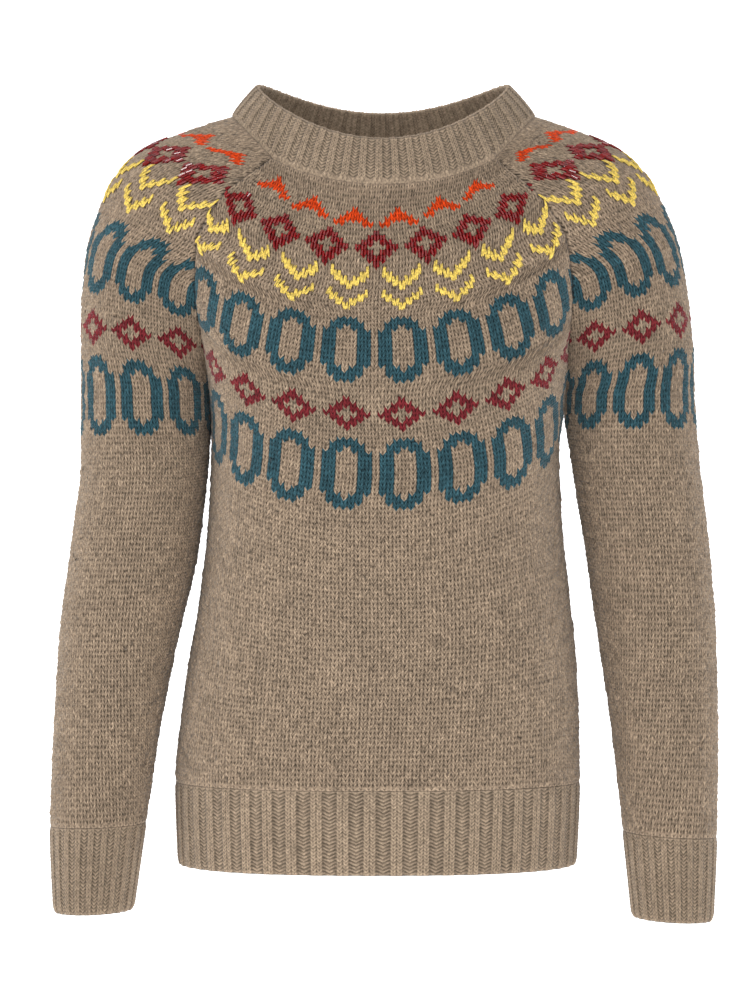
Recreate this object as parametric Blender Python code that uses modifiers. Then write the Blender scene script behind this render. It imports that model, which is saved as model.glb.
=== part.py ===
"""A round-yoke knitted jumper, filled out as if worn, built from the pieces that are knitted and sewn.

Units: the tables and sizes below are millimetres, and the meshes are metres. +Z is up, the front
faces -Y and +X is to the right in a front view. The origin is the middle of the neckline, level
with the side neck points. A round is one knitted row across a piece. Rounds are counted down from
the base of the neckband, so the yoke runs from round 0 to the underarm, and the body and each
sleeve go on down from there to their ribs.
"""

import bpy
import numpy as np

MM = 0.001
WELD_DISTANCE = 0.00005

WALL = 3.0
SEAM_GAP = 0.3
PANEL_GAP = 0.25
SIDE_GAP = 0.25
RIB_GAP_ROUNDS = 0.08
RIB_RISE = 1.3

UNDERARM_ROUND = 61
HEM_RIB_ROUND = 128
HEM_ROUND = 146
CUFF_RIB_ROUND = 145
CUFF_ROUND = 161

NECKBAND_RIBS = 52
HEM_RIBS_PER_PANEL = 24
CUFF_RIBS = 22
RIB_STEPS = (0.0, 0.42, 0.52, 0.90)
RIB_RAISED = (0.0, 0.0, 1.0, 1.0)

PANEL_COLUMNS = 20
SLEEVE_COLUMNS = 18
SEAM_CROWDING = 0.4
YOKE_STEPS = 13
PANEL_TUBE_STEPS = 8
SLEEVE_TUBE_STEPS = 9
SIDES = {"left": -1, "right": 1}

# The yoke and body, one row for each measured round. Widths are half widths either side of
# centre_x. The seam columns are the raglan seam down to the underarm and the side seam below it.
# panel_turn and sleeve_turn are how far each round turns, as degrees of an ellipse, from the
# middle of its piece to the seam. back_rise is how much higher the seam is at the back.
YOKE_COLUMNS = (
    "round", "centre_x", "front_y", "front_z", "back_y", "back_z", "seam_x", "seam_z",
    "back_rise", "panel_turn", "fullness", "sleeve_turn", "sleeve_half_depth",
    "shoulder_x", "shoulder_z",
)
YOKE = (
    (0, 3.0, -95, -60, 88, -22, 92, -36, 26, 46, 1.00, 44, 95, 127, 4),
    (5, 1.5, -100, -82, 95, -43, 105, -47, 25, 50, 1.00, 52, 90, 167.5, -10),
    (13, 0.5, -106, -113, 103, -76, 126, -64, 24, 55, 1.05, 62, 86, 197.5, -23),
    (20, 1.0, -111, -145, 108, -105, 143.5, -87, 22, 59, 1.08, 74, 80, 220, -43),
    (25, 1.5, -113, -162, 111, -125, 152, -106, 19, 63, 1.12, 86, 73, 232, -63),
    (35, 3.0, -117, -196, 114, -166, 155.5, -147, 14, 70, 1.20, 108, 63, 249, -110),
    (48, 5.0, -120, -249, 113, -219, 151, -189, 7, 82, 1.20, 140, 60, 255.5, -169),
    (55, 6.2, -120, -274, 110, -246, 149, -214, 3, 86, 1.20, 158, 60, 256.5, -200),
    (61, 6.5, -120, -296, 107, -271, 148, -232, 0, 90, 1.20, 180, 60, 257, -229),
)
BODY = (
    (69, 4.4, -119, -327, 103, -305, 145, -271, 0, 90, 1.20),
    (81, 4.3, -117, -373, 96, -355, 147, -327, 0, 90, 1.20),
    (96, 4.0, -114, -430, 92, -418, 154.5, -400, 0, 90, 1.20),
    (111, 1.2, -112, -488, 96, -481, 163.5, -471, 0, 90, 1.20),
    (128, -2.0, -112, -553, 105, -553, 168.5, -553, 0, 90, 1.20),
    (146, -2.4, -110, -622, 108, -622, 166, -622, 0, 90, 1.20),
)

# Each sleeve below the underarm: the outer and inner edges of its rounds as the front shows them,
# then the middle and the half depth from front to back. The arms hang slightly forward.
SLEEVE_COLUMNS_NAMED = (
    "round", "outer_x", "outer_z", "inner_x", "inner_z", "back_rise", "turn", "half_depth",
    "middle_y",
)
SLEEVES = {
    "left": (
        (73, -250.3, -280, -143.8, -280, 0, 180, 60, 0),
        (91, -258.7, -355, -152.0, -355, 0, 180, 59, -1),
        (108, -268.0, -431, -168.8, -430, 0, 180, 56, -5),
        (126, -272.0, -506, -183.5, -504, 0, 180, 50, -12),
        (145, -274.4, -589, -195.5, -586, 0, 180, 43, -21),
        (161, -271.0, -660, -205.5, -658, 0, 180, 37, -29),
    ),
    "right": (
        (73, 267.1, -280, 160.4, -280, 0, 180, 60, 0),
        (91, 275.5, -355, 172.2, -355, 0, 180, 59, -1),
        (108, 281.0, -431, 182.7, -430, 0, 180, 56, -5),
        (126, 282.0, -506, 193.3, -504, 0, 180, 50, -12),
        (145, 280.2, -598, 203.0, -593, 0, 180, 43, -21),
        (161, 276.5, -667, 210.0, -664, 0, 180, 37, -29),
    ),
}

# Soft folds of the worn cloth: where the middle of each fold lies on its piece, as a share of
# the way from the middle to the seam and a round, how far it reaches, how many rounds it drops
# for each whole width it crosses, and how deep it is. A ridge has a negative depth.
FOLD_COLUMNS = ("across", "round", "reach_across", "reach_rounds", "drop", "depth")
PANEL_FOLDS = (
    (-0.80, 78, 0.16, 12, 40, 2.4),
    (0.82, 76, 0.15, 12, -40, 2.4),
    (-0.70, 100, 0.20, 10, 55, 2.0),
    (-0.52, 106, 0.18, 10, 55, -1.6),
    (0.72, 104, 0.18, 12, -60, 2.0),
)
SLEEVE_FOLDS = (
    (0.62, 76, 0.16, 12, 30, 2.4),
    (0.50, 104, 0.14, 18, -40, 2.6),
    (0.74, 112, 0.15, 12, 50, -1.8),
    (-0.66, 82, 0.16, 12, 30, 2.2),
    (-0.45, 116, 0.16, 16, 45, 2.2),
)

# The neckband's free edge: an ellipse that dips at the front and slightly at the back.
RIM_CENTRE_X = 2.5
RIM_CENTRE_Y = -3.0
RIM_HALF_WIDTH = 106.0
RIM_HALF_DEPTH = 82.0
RIM_SIDE_Z = 29.0
RIM_FRONT_Z = -23.0
RIM_BACK_Z = 14.5
NECKBAND_SWELL = 2.5
RING_POINTS = 320

# Heathered taupe wool and its shaded, slightly darker ribs, in linear colour.
WOOL = (0.30, 0.235, 0.165, 1.0)
RIB_WOOL = (0.27, 0.21, 0.15, 1.0)


class Sections:
    """A table of sections, read between its rows on curves that never overshoot."""

    def __init__(self, columns, rows):
        table = np.array(rows, dtype=float)
        self.rounds = table[:, 0]
        self.columns = {name: table[:, index] for index, name in enumerate(columns)}

    def at(self, rounds):
        """Every column's value at these rounds, as a dictionary of arrays."""
        return {name: self.smooth(values, rounds) for name, values in self.columns.items()}

    def smooth(self, values, rounds):
        """A cubic through the rows whose slope at each is the harmonic mean beside it."""
        step = np.diff(self.rounds)
        slope = np.diff(values) / step
        product = slope[:-1] * slope[1:]
        total = slope[:-1] + slope[1:]
        level = product <= 0
        inner = np.where(level, 0.0, 2 * product / np.where(level, 1.0, total))
        tangent = np.concatenate(([slope[0]], inner, [slope[-1]]))
        last = len(step) - 1
        k = np.clip(np.searchsorted(self.rounds, rounds, side="right") - 1, 0, last)
        t = (rounds - self.rounds[k]) / step[k]
        start = values[k] * (1 + 2 * t) * (1 - t) ** 2
        end = values[k + 1] * (3 - 2 * t) * t ** 2
        leave = tangent[k] * step[k] * t * (1 - t) ** 2
        arrive = tangent[k + 1] * step[k] * t ** 2 * (1 - t)
        return start + end + leave - arrive


def body_sections():
    """The yoke and body as one table; below the underarm the sleeve columns stay put."""
    sleeve_part = YOKE[-1][len(BODY[0]):]
    rows = YOKE + tuple(row + sleeve_part for row in BODY)
    return Sections(YOKE_COLUMNS, rows)


def sleeve_sections(side):
    """A sleeve as one table: its share of the yoke's rounds, then the tube's own."""
    sign = SIDES[side]
    rows = []
    for values in YOKE:
        row = dict(zip(YOKE_COLUMNS, values))
        outer_x = row["centre_x"] + sign * row["shoulder_x"]
        inner_x = row["centre_x"] + sign * (row["seam_x"] + PANEL_GAP)
        rows.append((row["round"], outer_x, row["shoulder_z"], inner_x, row["seam_z"],
                     row["back_rise"], row["sleeve_turn"], row["sleeve_half_depth"], 0.0))
    return Sections(SLEEVE_COLUMNS_NAMED, tuple(rows) + SLEEVES[side])


def fold_depth(folds, across, rounds):
    """How far the folds push the cloth in: soft bumps on slanted axes, none at a seam."""
    depth = np.zeros(np.broadcast(across, rounds).shape)
    for values in folds:
        fold = dict(zip(FOLD_COLUMNS, values))
        side = across - fold["across"]
        along = rounds - fold["round"] - side * fold["drop"]
        reach = (side / fold["reach_across"]) ** 2 + (along / fold["reach_rounds"]) ** 2
        depth += fold["depth"] * np.exp(-reach)
    return depth * (1 - across ** 4)


def panel_points(facing, across, rounds):
    """The outer face of the front (facing -1) or back (facing 1), as an array of points.

    Each round is an arc of an ellipse seen from above, from the middle of the panel out to the
    seams, and rises from the middle to the seams as one minus a cosine.
    """
    s = body_sections().at(rounds)
    middle_y = s["front_y"] if facing < 0 else s["back_y"]
    middle_z = s["front_z"] if facing < 0 else s["back_z"]
    seam_z = s["seam_z"] + (s["back_rise"] if facing > 0 else 0.0)
    seam_depth = s["sleeve_half_depth"] * np.sin(np.radians(s["sleeve_turn"]))
    seam_y = facing * (seam_depth + SIDE_GAP)
    turn = np.radians(s["panel_turn"])
    angle = across * turn
    rise = (1 - np.cos(angle)) / (1 - np.cos(turn))
    half_width = s["seam_x"] - PANEL_GAP
    x = s["centre_x"] + half_width * np.sin(angle) / np.sin(turn)
    y = middle_y + (seam_y - middle_y) * rise ** s["fullness"]
    z = middle_z + (seam_z - middle_z) * rise
    return np.stack(np.broadcast_arrays(x, y, z), axis=-1)


def sleeve_points(side, across, rounds):
    """The outer face of a sleeve; across is -1 at the front seam, 0 outermost, 1 at the back."""
    s = sleeve_sections(side).at(rounds)
    turn = np.radians(s["turn"])
    angle = across * turn
    reach = (1 - np.cos(angle)) / (1 - np.cos(turn))
    inner_z = s["inner_z"] + np.where(across > 0, s["back_rise"], 0.0)
    x = s["outer_x"] + (s["inner_x"] - s["outer_x"]) * reach
    y = s["middle_y"] + s["half_depth"] * np.sin(angle)
    z = s["outer_z"] + (inner_z - s["outer_z"]) * reach
    return np.stack(np.broadcast_arrays(x, y, z), axis=-1)


def grid_normals(points):
    """Unit normals of a grid of points, from the differences along its rows and columns."""
    down = np.gradient(points, axis=0)
    across = np.gradient(points, axis=1)
    normals = np.cross(across, down)
    return normals / np.linalg.norm(normals, axis=-1, keepdims=True)


def faces_out(points, facing_out):
    """1 if the grid's normals look the way its middle should face, and -1 if they look in."""
    rows, columns = points.shape[:2]
    middle = grid_normals(points)[rows // 2, columns // 2]
    return 1 if float(np.dot(middle, facing_out)) > 0 else -1


def folded(points, folds, facing_out):
    """The grid with its folds pressed in."""
    outward = grid_normals(points) * faces_out(points, facing_out)
    return points - folds[..., None] * outward


def seam_to_seam(columns):
    """Places across a piece from -1 to 1, closer together towards both seams."""
    even = np.linspace(-1, 1, columns + 1)[None, :]
    return even * (1 + SEAM_CROWDING - SEAM_CROWDING * even ** 2)


def stations(tube_steps, last):
    """The rounds of a panel or sleeve as a column: the yoke's, then the tube's to its rib.

    Every piece has the same rounds in the yoke, so that pieces meet point for point at a seam.
    """
    yoke = np.linspace(0, UNDERARM_ROUND, YOKE_STEPS + 1)
    tube = np.linspace(UNDERARM_ROUND, last, tube_steps + 1)
    return np.concatenate((yoke, tube[1:]))[:, None]


def grid_faces(rows, columns, turned):
    """The quads of a grid of points, numbered row by row, and wound the other way if turned."""
    corner = (np.arange(rows - 1)[:, None] * columns + np.arange(columns - 1)).ravel()
    quads = np.stack((corner, corner + 1, corner + columns + 1, corner + columns), axis=1)
    return quads[:, ::-1] if turned else quads


def cloth_object(name, points, facing_out, colour):
    """An open sheet through a grid of points in millimetres, with its faces turned outwards.

    facing_out is any direction that the sheet's middle faces. Points that meet are welded, so a
    sheet whose last column reaches its first is a tube.
    """
    rows, columns = points.shape[:2]
    quads = grid_faces(rows, columns, faces_out(points, facing_out) < 0)
    mesh = bpy.data.meshes.new(name)
    mesh.from_pydata((points.reshape(-1, 3) * MM).tolist(), [], quads.tolist())
    mesh.shade_smooth()
    piece = bpy.data.objects.new(name, mesh)
    bpy.data.collections["jumper"].objects.link(piece)
    mesh.materials.append(wool_material(name, colour))
    weld = piece.modifiers.new("weld_seam", "WELD")
    weld.merge_threshold = WELD_DISTANCE
    return piece


def wool_material(name, colour):
    """Matte knitted wool."""
    material = bpy.data.materials.new(name + "_wool")
    material.use_nodes = True
    shader = material.node_tree.nodes["Principled BSDF"]
    shader.inputs["Base Color"].default_value = colour
    shader.inputs["Roughness"].default_value = 0.95
    shader.inputs["Metallic"].default_value = 0.0
    return material


def thicken(piece, thickness, offset):
    """Give a sheet its wall: inwards from the outer face (-1) or outwards from the inner (1)."""
    wall = piece.modifiers.new("wall", "SOLIDIFY")
    wall.thickness = thickness * MM
    wall.offset = offset
    wall.use_even_offset = True
    return wall


def rib_places(ribs):
    """Columns for a run of ribs from 0 to 1: two close steps up and down for each rib."""
    places = (np.arange(ribs)[:, None] + np.array(RIB_STEPS)).ravel() / ribs
    raised = np.tile(RIB_RAISED, ribs)
    return np.append(places, 1.0), np.append(raised, 0.0)


def ribbed_band(name, outer_points, raised, facing_out):
    """A band of rib: a plain inner face, and outer points that stand out on each knit rib.

    outer_points is the grid of the furrows; the inner face is worked out one wall inside it.
    """
    outward = grid_normals(outer_points) * faces_out(outer_points, facing_out)
    if np.allclose(outer_points[:, 0], outer_points[:, -1]):
        ends = outward[:, 0] + outward[:, -1]
        ends /= np.linalg.norm(ends, axis=-1, keepdims=True)
        outward[:, 0] = ends
        outward[:, -1] = ends
    band = cloth_object(name, outer_points - WALL * outward, facing_out, RIB_WOOL)
    group = band.vertex_groups.new(name="raised_ribs")
    lifted = np.flatnonzero(np.tile(raised, len(outer_points)) > 0)
    group.add(lifted.tolist(), 1.0, "REPLACE")
    wall = thicken(band, WALL + RIB_RISE, 1.0)
    wall.vertex_group = group.name
    wall.thickness_vertex_group = WALL / (WALL + RIB_RISE)


def make_panel(name, facing):
    """The front or back, from the neckband to the hem rib; the back's folds are mirrored."""
    across = seam_to_seam(PANEL_COLUMNS)
    rounds = stations(PANEL_TUBE_STEPS, HEM_RIB_ROUND)
    facing_out = (0, facing, 0)
    folds = fold_depth(PANEL_FOLDS, across * -facing, rounds)
    points = folded(panel_points(facing, across, rounds), folds, facing_out)
    thicken(cloth_object(name, points, facing_out, WOOL), WALL, -1.0)


def make_sleeve(side):
    """A sleeve: its share of the yoke, joined into a tube from the underarm to the cuff."""
    across = seam_to_seam(SLEEVE_COLUMNS)
    rounds = stations(SLEEVE_TUBE_STEPS, CUFF_RIB_ROUND)
    facing_out = (SIDES[side], 0, 0)
    folds = fold_depth(SLEEVE_FOLDS, across, rounds)
    points = folded(sleeve_points(side, across, rounds), folds, facing_out)
    thicken(cloth_object("sleeve_" + side, points, facing_out, WOOL), WALL, -1.0)


def make_hem(name, facing):
    """One panel's half of the hem rib."""
    places, raised = rib_places(HEM_RIBS_PER_PANEL)
    rounds = np.array(((HEM_RIB_ROUND + RIB_GAP_ROUNDS,), (HEM_ROUND,)))
    points = panel_points(facing, places[None, :] * 2 - 1, rounds)
    ribbed_band(name, points, raised, (0, facing, 0))


def make_cuff(side):
    """The ribbed cuff at the end of a sleeve."""
    places, raised = rib_places(CUFF_RIBS)
    rounds = np.array(((CUFF_RIB_ROUND + RIB_GAP_ROUNDS,), (CUFF_ROUND,)))
    points = sleeve_points(side, places[None, :] * 2 - 1, rounds)
    ribbed_band("cuff_" + side, points, raised, (SIDES[side], 0, 0))


def evenly_round(ring, places):
    """A closed ring of points read again at these shares of its length."""
    lengths = np.concatenate(([0.0], np.cumsum(np.linalg.norm(np.diff(ring, axis=0), axis=1))))
    wanted = places * lengths[-1]
    return np.stack([np.interp(wanted, lengths, ring[:, axis]) for axis in range(3)], axis=1)


def neckline_ring():
    """The yoke's first round, once round from the middle of the front towards +X."""
    half = np.linspace(0, 1, RING_POINTS // 8)
    full = np.linspace(-1, 1, RING_POINTS // 4)
    top = np.zeros(1)
    return np.concatenate((
        panel_points(-1, half, top),
        sleeve_points("right", full, top),
        panel_points(1, -full, top),
        sleeve_points("left", -full, top),
        panel_points(-1, half - 1, top),
    ))


def rim_ring():
    """The neckband's free edge, once round from the middle of the front towards +X."""
    angle = np.linspace(0, 2 * np.pi, RING_POINTS)
    side = (RIM_FRONT_Z + RIM_BACK_Z) / 2
    level = (RIM_SIDE_Z + side) / 2
    z = level + (RIM_FRONT_Z - RIM_BACK_Z) / 2 * np.cos(angle) + (side - level) * np.cos(2 * angle)
    x = RIM_CENTRE_X + RIM_HALF_WIDTH * np.sin(angle)
    y = RIM_CENTRE_Y - RIM_HALF_DEPTH * np.cos(angle)
    return np.stack((x, y, z), axis=1)


def make_neckband():
    """The ribbed neckband, from its free edge down to the yoke's first round."""
    places, raised = rib_places(NECKBAND_RIBS)
    base = evenly_round(neckline_ring(), places)
    rim = evenly_round(rim_ring(), places)
    slope = rim - base
    height = np.linalg.norm(slope, axis=1, keepdims=True)
    base = base + slope / height * SEAM_GAP
    middle = (base + rim) / 2
    outward = middle - np.array((RIM_CENTRE_X, RIM_CENTRE_Y, middle[:, 2].mean()))
    outward[:, 2] = np.hypot(outward[:, 0], outward[:, 1]) / 2
    outward /= np.linalg.norm(outward, axis=1, keepdims=True)
    middle = middle + outward * NECKBAND_SWELL
    ribbed_band("neckband", np.stack((rim, middle, base)), raised, (0, 1, 0.3))


def main():
    """Clear the scene and build every piece of the jumper."""
    for old in list(bpy.data.objects):
        bpy.data.objects.remove(old, do_unlink=True)
    jumper = bpy.data.collections.new("jumper")
    bpy.context.scene.collection.children.link(jumper)
    make_neckband()
    for name, facing in (("front", -1), ("back", 1)):
        make_panel(name, facing)
        make_hem("hem_rib_" + name, facing)
    for side in SIDES:
        make_sleeve(side)
        make_cuff(side)


main()
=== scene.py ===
"""Dresses the round-yoke jumper: cloth knitted stitch by stitch, ribs, embroidery, beads and light.

The tables repeat the part's own sizes, in millimetres, and the meshes are metres. Rounds are
knitted rows, counted down from the base of the neckband, and stitches are counted across from the
middle of each piece. Run it as a script: it builds every piece through the operators below.
"""

from functools import partial

import bpy
import numpy as np
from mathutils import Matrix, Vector


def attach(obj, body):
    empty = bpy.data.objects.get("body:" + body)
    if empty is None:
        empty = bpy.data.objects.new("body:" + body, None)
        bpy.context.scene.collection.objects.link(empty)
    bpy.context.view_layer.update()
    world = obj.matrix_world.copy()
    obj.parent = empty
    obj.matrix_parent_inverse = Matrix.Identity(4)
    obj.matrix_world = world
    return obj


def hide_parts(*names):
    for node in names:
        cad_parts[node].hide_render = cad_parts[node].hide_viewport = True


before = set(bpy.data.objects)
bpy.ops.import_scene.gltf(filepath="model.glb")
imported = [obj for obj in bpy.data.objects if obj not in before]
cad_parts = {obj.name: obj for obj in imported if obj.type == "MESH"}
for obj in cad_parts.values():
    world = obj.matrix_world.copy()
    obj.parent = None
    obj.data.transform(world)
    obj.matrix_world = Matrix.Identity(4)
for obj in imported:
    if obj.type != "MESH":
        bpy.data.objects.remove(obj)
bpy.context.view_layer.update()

bl_info = {
    "name": "Round-yoke jumper",
    "version": (1, 0, 0),
    "blender": (4, 5, 0),
    "location": "View3D > Sidebar > Jumper",
    "description": "Builds a knitted jumper with a colourwork yoke, stitch by stitch",
    "category": "Add Mesh",
}

# A millimetre in metres
MM = 0.001

# The garment's own sizes, as its solids have them, but for the gaps. These are negative here, so
# that neighbours overlap by that much and no light passes between them.
PANEL_GAP = -0.6
SIDE_GAP = -0.6
SEAM_GAP = -0.3
RIB_GAP_ROUNDS = -0.06
UNDERARM_ROUND = 61
HEM_RIB_ROUND = 128
HEM_ROUND = 146
CUFF_RIB_ROUND = 145
CUFF_ROUND = 161
NECKBAND_RIBS = 52
HEM_RIBS_PER_PANEL = 24
CUFF_RIBS = 22
SIDES = {"left": -1, "right": 1}
PANELS = {"front": -1, "back": 1}

# Sections of the yoke, the body under it and the sleeves, a row for each round that shapes them
YOKE_COLUMNS = (
    "round", "centre_x", "front_y", "front_z", "back_y", "back_z", "seam_x", "seam_z",
    "back_rise", "panel_turn", "fullness", "sleeve_turn", "sleeve_half_depth",
    "shoulder_x", "shoulder_z",
)
YOKE = (
    (0, 3.0, -95, -60, 88, -22, 92, -36, 26, 46, 1.00, 44, 95, 127, 4),
    (5, 1.5, -100, -82, 95, -43, 105, -47, 25, 50, 1.00, 52, 90, 167.5, -10),
    (13, 0.5, -106, -113, 103, -76, 126, -64, 24, 55, 1.05, 62, 86, 197.5, -23),
    (20, 1.0, -111, -145, 108, -105, 143.5, -87, 22, 59, 1.08, 74, 80, 220, -43),
    (25, 1.5, -113, -162, 111, -125, 152, -106, 19, 63, 1.12, 86, 73, 232, -63),
    (35, 3.0, -117, -196, 114, -166, 155.5, -147, 14, 70, 1.20, 108, 63, 249, -110),
    (48, 5.0, -120, -249, 113, -219, 151, -189, 7, 82, 1.20, 140, 60, 255.5, -169),
    (55, 6.2, -120, -274, 110, -246, 149, -214, 3, 86, 1.20, 158, 60, 256.5, -200),
    (61, 6.5, -120, -296, 107, -271, 148, -232, 0, 90, 1.20, 180, 60, 257, -229),
)
BODY = (
    (69, 4.4, -119, -327, 103, -305, 145, -271, 0, 90, 1.20),
    (81, 4.3, -117, -373, 96, -355, 147, -327, 0, 90, 1.20),
    (96, 4.0, -114, -430, 92, -418, 154.5, -400, 0, 90, 1.20),
    (111, 1.2, -112, -488, 96, -481, 163.5, -471, 0, 90, 1.20),
    (128, -2.0, -112, -553, 105, -553, 168.5, -553, 0, 90, 1.20),
    (146, -2.4, -110, -622, 108, -622, 166, -622, 0, 90, 1.20),
)
SLEEVE_COLUMNS = (
    "round", "outer_x", "outer_z", "inner_x", "inner_z", "back_rise", "turn", "half_depth",
    "middle_y",
)
SLEEVES = {
    "left": (
        (73, -250.3, -280, -143.8, -280, 0, 180, 60, 0),
        (91, -258.7, -355, -152.0, -355, 0, 180, 59, -1),
        (108, -268.0, -431, -168.8, -430, 0, 180, 56, -5),
        (126, -272.0, -506, -183.5, -504, 0, 180, 50, -12),
        (145, -274.4, -589, -195.5, -586, 0, 180, 43, -21),
        (161, -271.0, -660, -205.5, -658, 0, 180, 37, -29),
    ),
    "right": (
        (73, 267.1, -280, 160.4, -280, 0, 180, 60, 0),
        (91, 275.5, -355, 172.2, -355, 0, 180, 59, -1),
        (108, 281.0, -431, 182.7, -430, 0, 180, 56, -5),
        (126, 282.0, -506, 193.3, -504, 0, 180, 50, -12),
        (145, 280.2, -598, 203.0, -593, 0, 180, 43, -21),
        (161, 276.5, -667, 210.0, -664, 0, 180, 37, -29),
    ),
}

# Soft folds: where each lies across and down its piece, its reach, its slant and its depth
FOLD_COLUMNS = ("across", "round", "reach_across", "reach_rounds", "drop", "depth")
PANEL_FOLDS = (
    (-0.80, 78, 0.16, 12, 40, 2.4),
    (0.82, 76, 0.15, 12, -40, 2.4),
    (-0.70, 100, 0.20, 10, 55, 2.0),
    (-0.52, 106, 0.18, 10, 55, -1.6),
    (0.72, 104, 0.18, 12, -60, 2.0),
)
SLEEVE_FOLDS = (
    (0.62, 76, 0.16, 12, 30, 2.4),
    (0.50, 104, 0.14, 18, -40, 2.6),
    (0.74, 112, 0.15, 12, 50, -1.8),
    (-0.66, 82, 0.16, 12, 30, 2.2),
    (-0.45, 116, 0.16, 16, 45, 2.2),
)

# The neckband's free edge, an ellipse seen from above, with its heights at the side, front and
# back, and how far the band swells out between its edges
RIM_CENTRE_X = 2.5
RIM_CENTRE_Y = -3.0
RIM_HALF_WIDTH = 106.0
RIM_HALF_DEPTH = 82.0
RIM_SIDE_Z = 29.0
RIM_FRONT_Z = -23.0
RIM_BACK_Z = 14.5
NECKBAND_SWELL = 0.9
RING_POINTS = 320

# Gauge: the width of a stitch, and how far the pattern's middle lies to the side, round by round
GAUGE_COLUMNS = ("round", "stitch_width", "middle")
PANEL_GAUGE = (
    (0, 4.30, -4.5),
    (5, 4.45, -4.6),
    (13, 5.10, -3.5),
    (20, 5.30, -4.6),
    (25, 5.83, -6.5),
    (35, 5.75, -7.5),
    (48, 5.60, -10.0),
    (61, 6.00, -10.0),
    (76, 6.20, -10.0),
    (96, 6.35, -9.0),
    (146, 6.35, -6.0),
)
SLEEVE_GAUGE = (
    (0, 5.10, -46.0),
    (5, 5.30, -42.0),
    (13, 5.60, -26.0),
    (20, 5.40, -18.0),
    (25, 5.40, -17.0),
    (35, 4.95, -1.0),
    (48, 5.15, 3.0),
    (61, 5.10, -8.0),
    (76, 5.40, -8.0),
    (161, 5.70, -8.0),
)
# Where the wales of a pattern fan out from the neck: over which rounds and by how much each
FAN_COLUMNS = ("middle_round", "half_height", "spread")
FANS = (
    (6.5, 2.2, 0.06),
    (13.2, 3.4, 0.06),
    (19.2, 1.8, 0.05),
    (24.2, 1.8, 0.05),
    (34.5, 7.2, 0.06),
)
FAN_RETURN = 1.6

# The first and last stitch that is laid out on a piece, and how far its charts are moved
SPANS = {"front": (-36, 36), "back": (-36, 36),
         "sleeve_left": (-36, 39), "sleeve_right": (-36, 39)}
CHART_SHIFTS = {"front": 0, "back": 0, "sleeve_left": 4, "sleeve_right": 4}

# The worn jumper sits a little higher on its +X shoulder: by how many rounds, by what share of
# them in the middle of a panel, and where that fades
LEAN = 1.3
LEAN_MIDDLE = 0.35
LEAN_START = 7.0
LEAN_END = (70.0, 110.0)

# On the sleeves the rounds over the shoulder lie higher: by how many, at which, and up to which
SHOULDER_RISE = 2.2
SHOULDER_ROUND = 9.0
SHOULDER_END = 19.0

# The yoke's stitch charts, drawn on an eight-stitch repeat: X is the pattern's yarn
OVAL_END = ("..XXX...", ".XXXXX..", ".XX.XX..")
DIAMOND_TOP = ("...X....", "..XXX...", ".XX.XX..")
CHARTS = {
    "caret": ("...X....", "..XXX...", ".XXXXX..", "XX...XX."),
    "diamond": DIAMOND_TOP + ("XX...XX.",) + DIAMOND_TOP[::-1],
    "oval": OVAL_END + ("XX...XX.",) * 8 + OVAL_END[::-1],
    "long_oval": OVAL_END + ("XX...XX.",) * 9 + OVAL_END[::-1],
}
REPEAT = 8
MOTIF_MIDDLE = 3
BAND_COLUMNS = ("chart", "first_round", "sleeve_round", "shift", "yarn")
BANDS = (
    ("caret", 5, 4, 4, "orange"),
    ("diamond", 10, 10, 0, "scarlet"),
    ("oval", 28, 28, 4, "teal"),
    ("diamond", 45, 45, 4, "crimson"),
    ("long_oval", 54, 54, 4, "teal"),
)
# Carets that a seam would cut are left out: the room their middle needs, in stitches.
# On a panel the others rise towards the seams, by these rounds at these stitches.
WHOLE_CHART = "caret"
WHOLE_ROOM = 1.5
CARET_RISE = ((6, 14, 20), (0, 1, 2))
BEADED_BAND = 1
CHEVRON_COLUMNS = ("first_round", "shift", "panel_drop", "sleeve_drop")
CHEVRONS = ((16.9, 4, 0.84, 1.12), (21.8, 4, 1.06, 1.12))
CHEVRON_TIP = 4.4
CHEVRON_REACH = 3

# How one stitch is drawn: four columns of points, gap, leg, middle and leg, and two rows. Each
# point's height is a share of the relief, its painted shade says how dark its colour is painted,
# dark in the gaps and lighter on the legs, and its shear is a share of the tilt.
COLUMNS_PER_STITCH = 4
ROWS_PER_ROUND = 2
RELIEF_PROFILE = ((-0.95, 0.30, -0.20, 0.30), (-0.35, 0.62, -0.80, 0.62))
PAINTED_SHADE_PROFILE = ((1.0, 0.08, 0.16, 0.08), (0.26, 0.0, 0.95, 0.0))
SHEAR_PROFILE = (-1.0, 0.0, 1.0, 0.0)

# Where the random draws of each group of pieces start, one seed further for each piece
SEEDS = {"panels": 10, "sleeves": 20, "hem": 30, "cuffs": 40, "chevrons": 50, "neckband": 61,
         "beads": 70}

# How far hand knitting strays: across in stitches, down in rounds, in painted shade and in tone
STRAY_ACROSS = 0.045
STRAY_DOWN = 0.05
STRAY_PAINTED_SHADE = 0.12
STRAY_TONE = 0.05
# How much a taller leg's painted shade lessens, how dark the lining is painted in shade, and what
# share of the painted shade is kept at a piece's ends
UNEVEN_PAINTED_SHADE = 0.3
LINING_PAINTED_SHADE = 0.4
END_PAINTED_SHADE = 0.7

# A column ends on the seam once less than this share of a stitch is left. A seam's groove reaches
# this far, in millimetres, and is painted this dark in shade.
SEAM_SHARE = 0.3
SEAM_REACH = 1.1
SEAM_PAINTED_SHADE = 0.36

# How finely the surfaces are measured: points to a round, and the steps that normals are read over
ARC_SAMPLES = 160
JUST_INSIDE = 0.0001
CLOTH_STEPS = (0.01, 0.4)
BAND_STEPS = (0.004, 0.3)
RING_STEP = 0.0015


def linear(hex_colour):
    """An sRGB hex colour as linear red, green and blue."""
    values = np.array([int(hex_colour[i:i + 2], 16) for i in (1, 3, 5)]) / 255
    return tuple(np.where(values <= 0.04045, values / 12.92, ((values + 0.055) / 1.055) ** 2.4))


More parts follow.
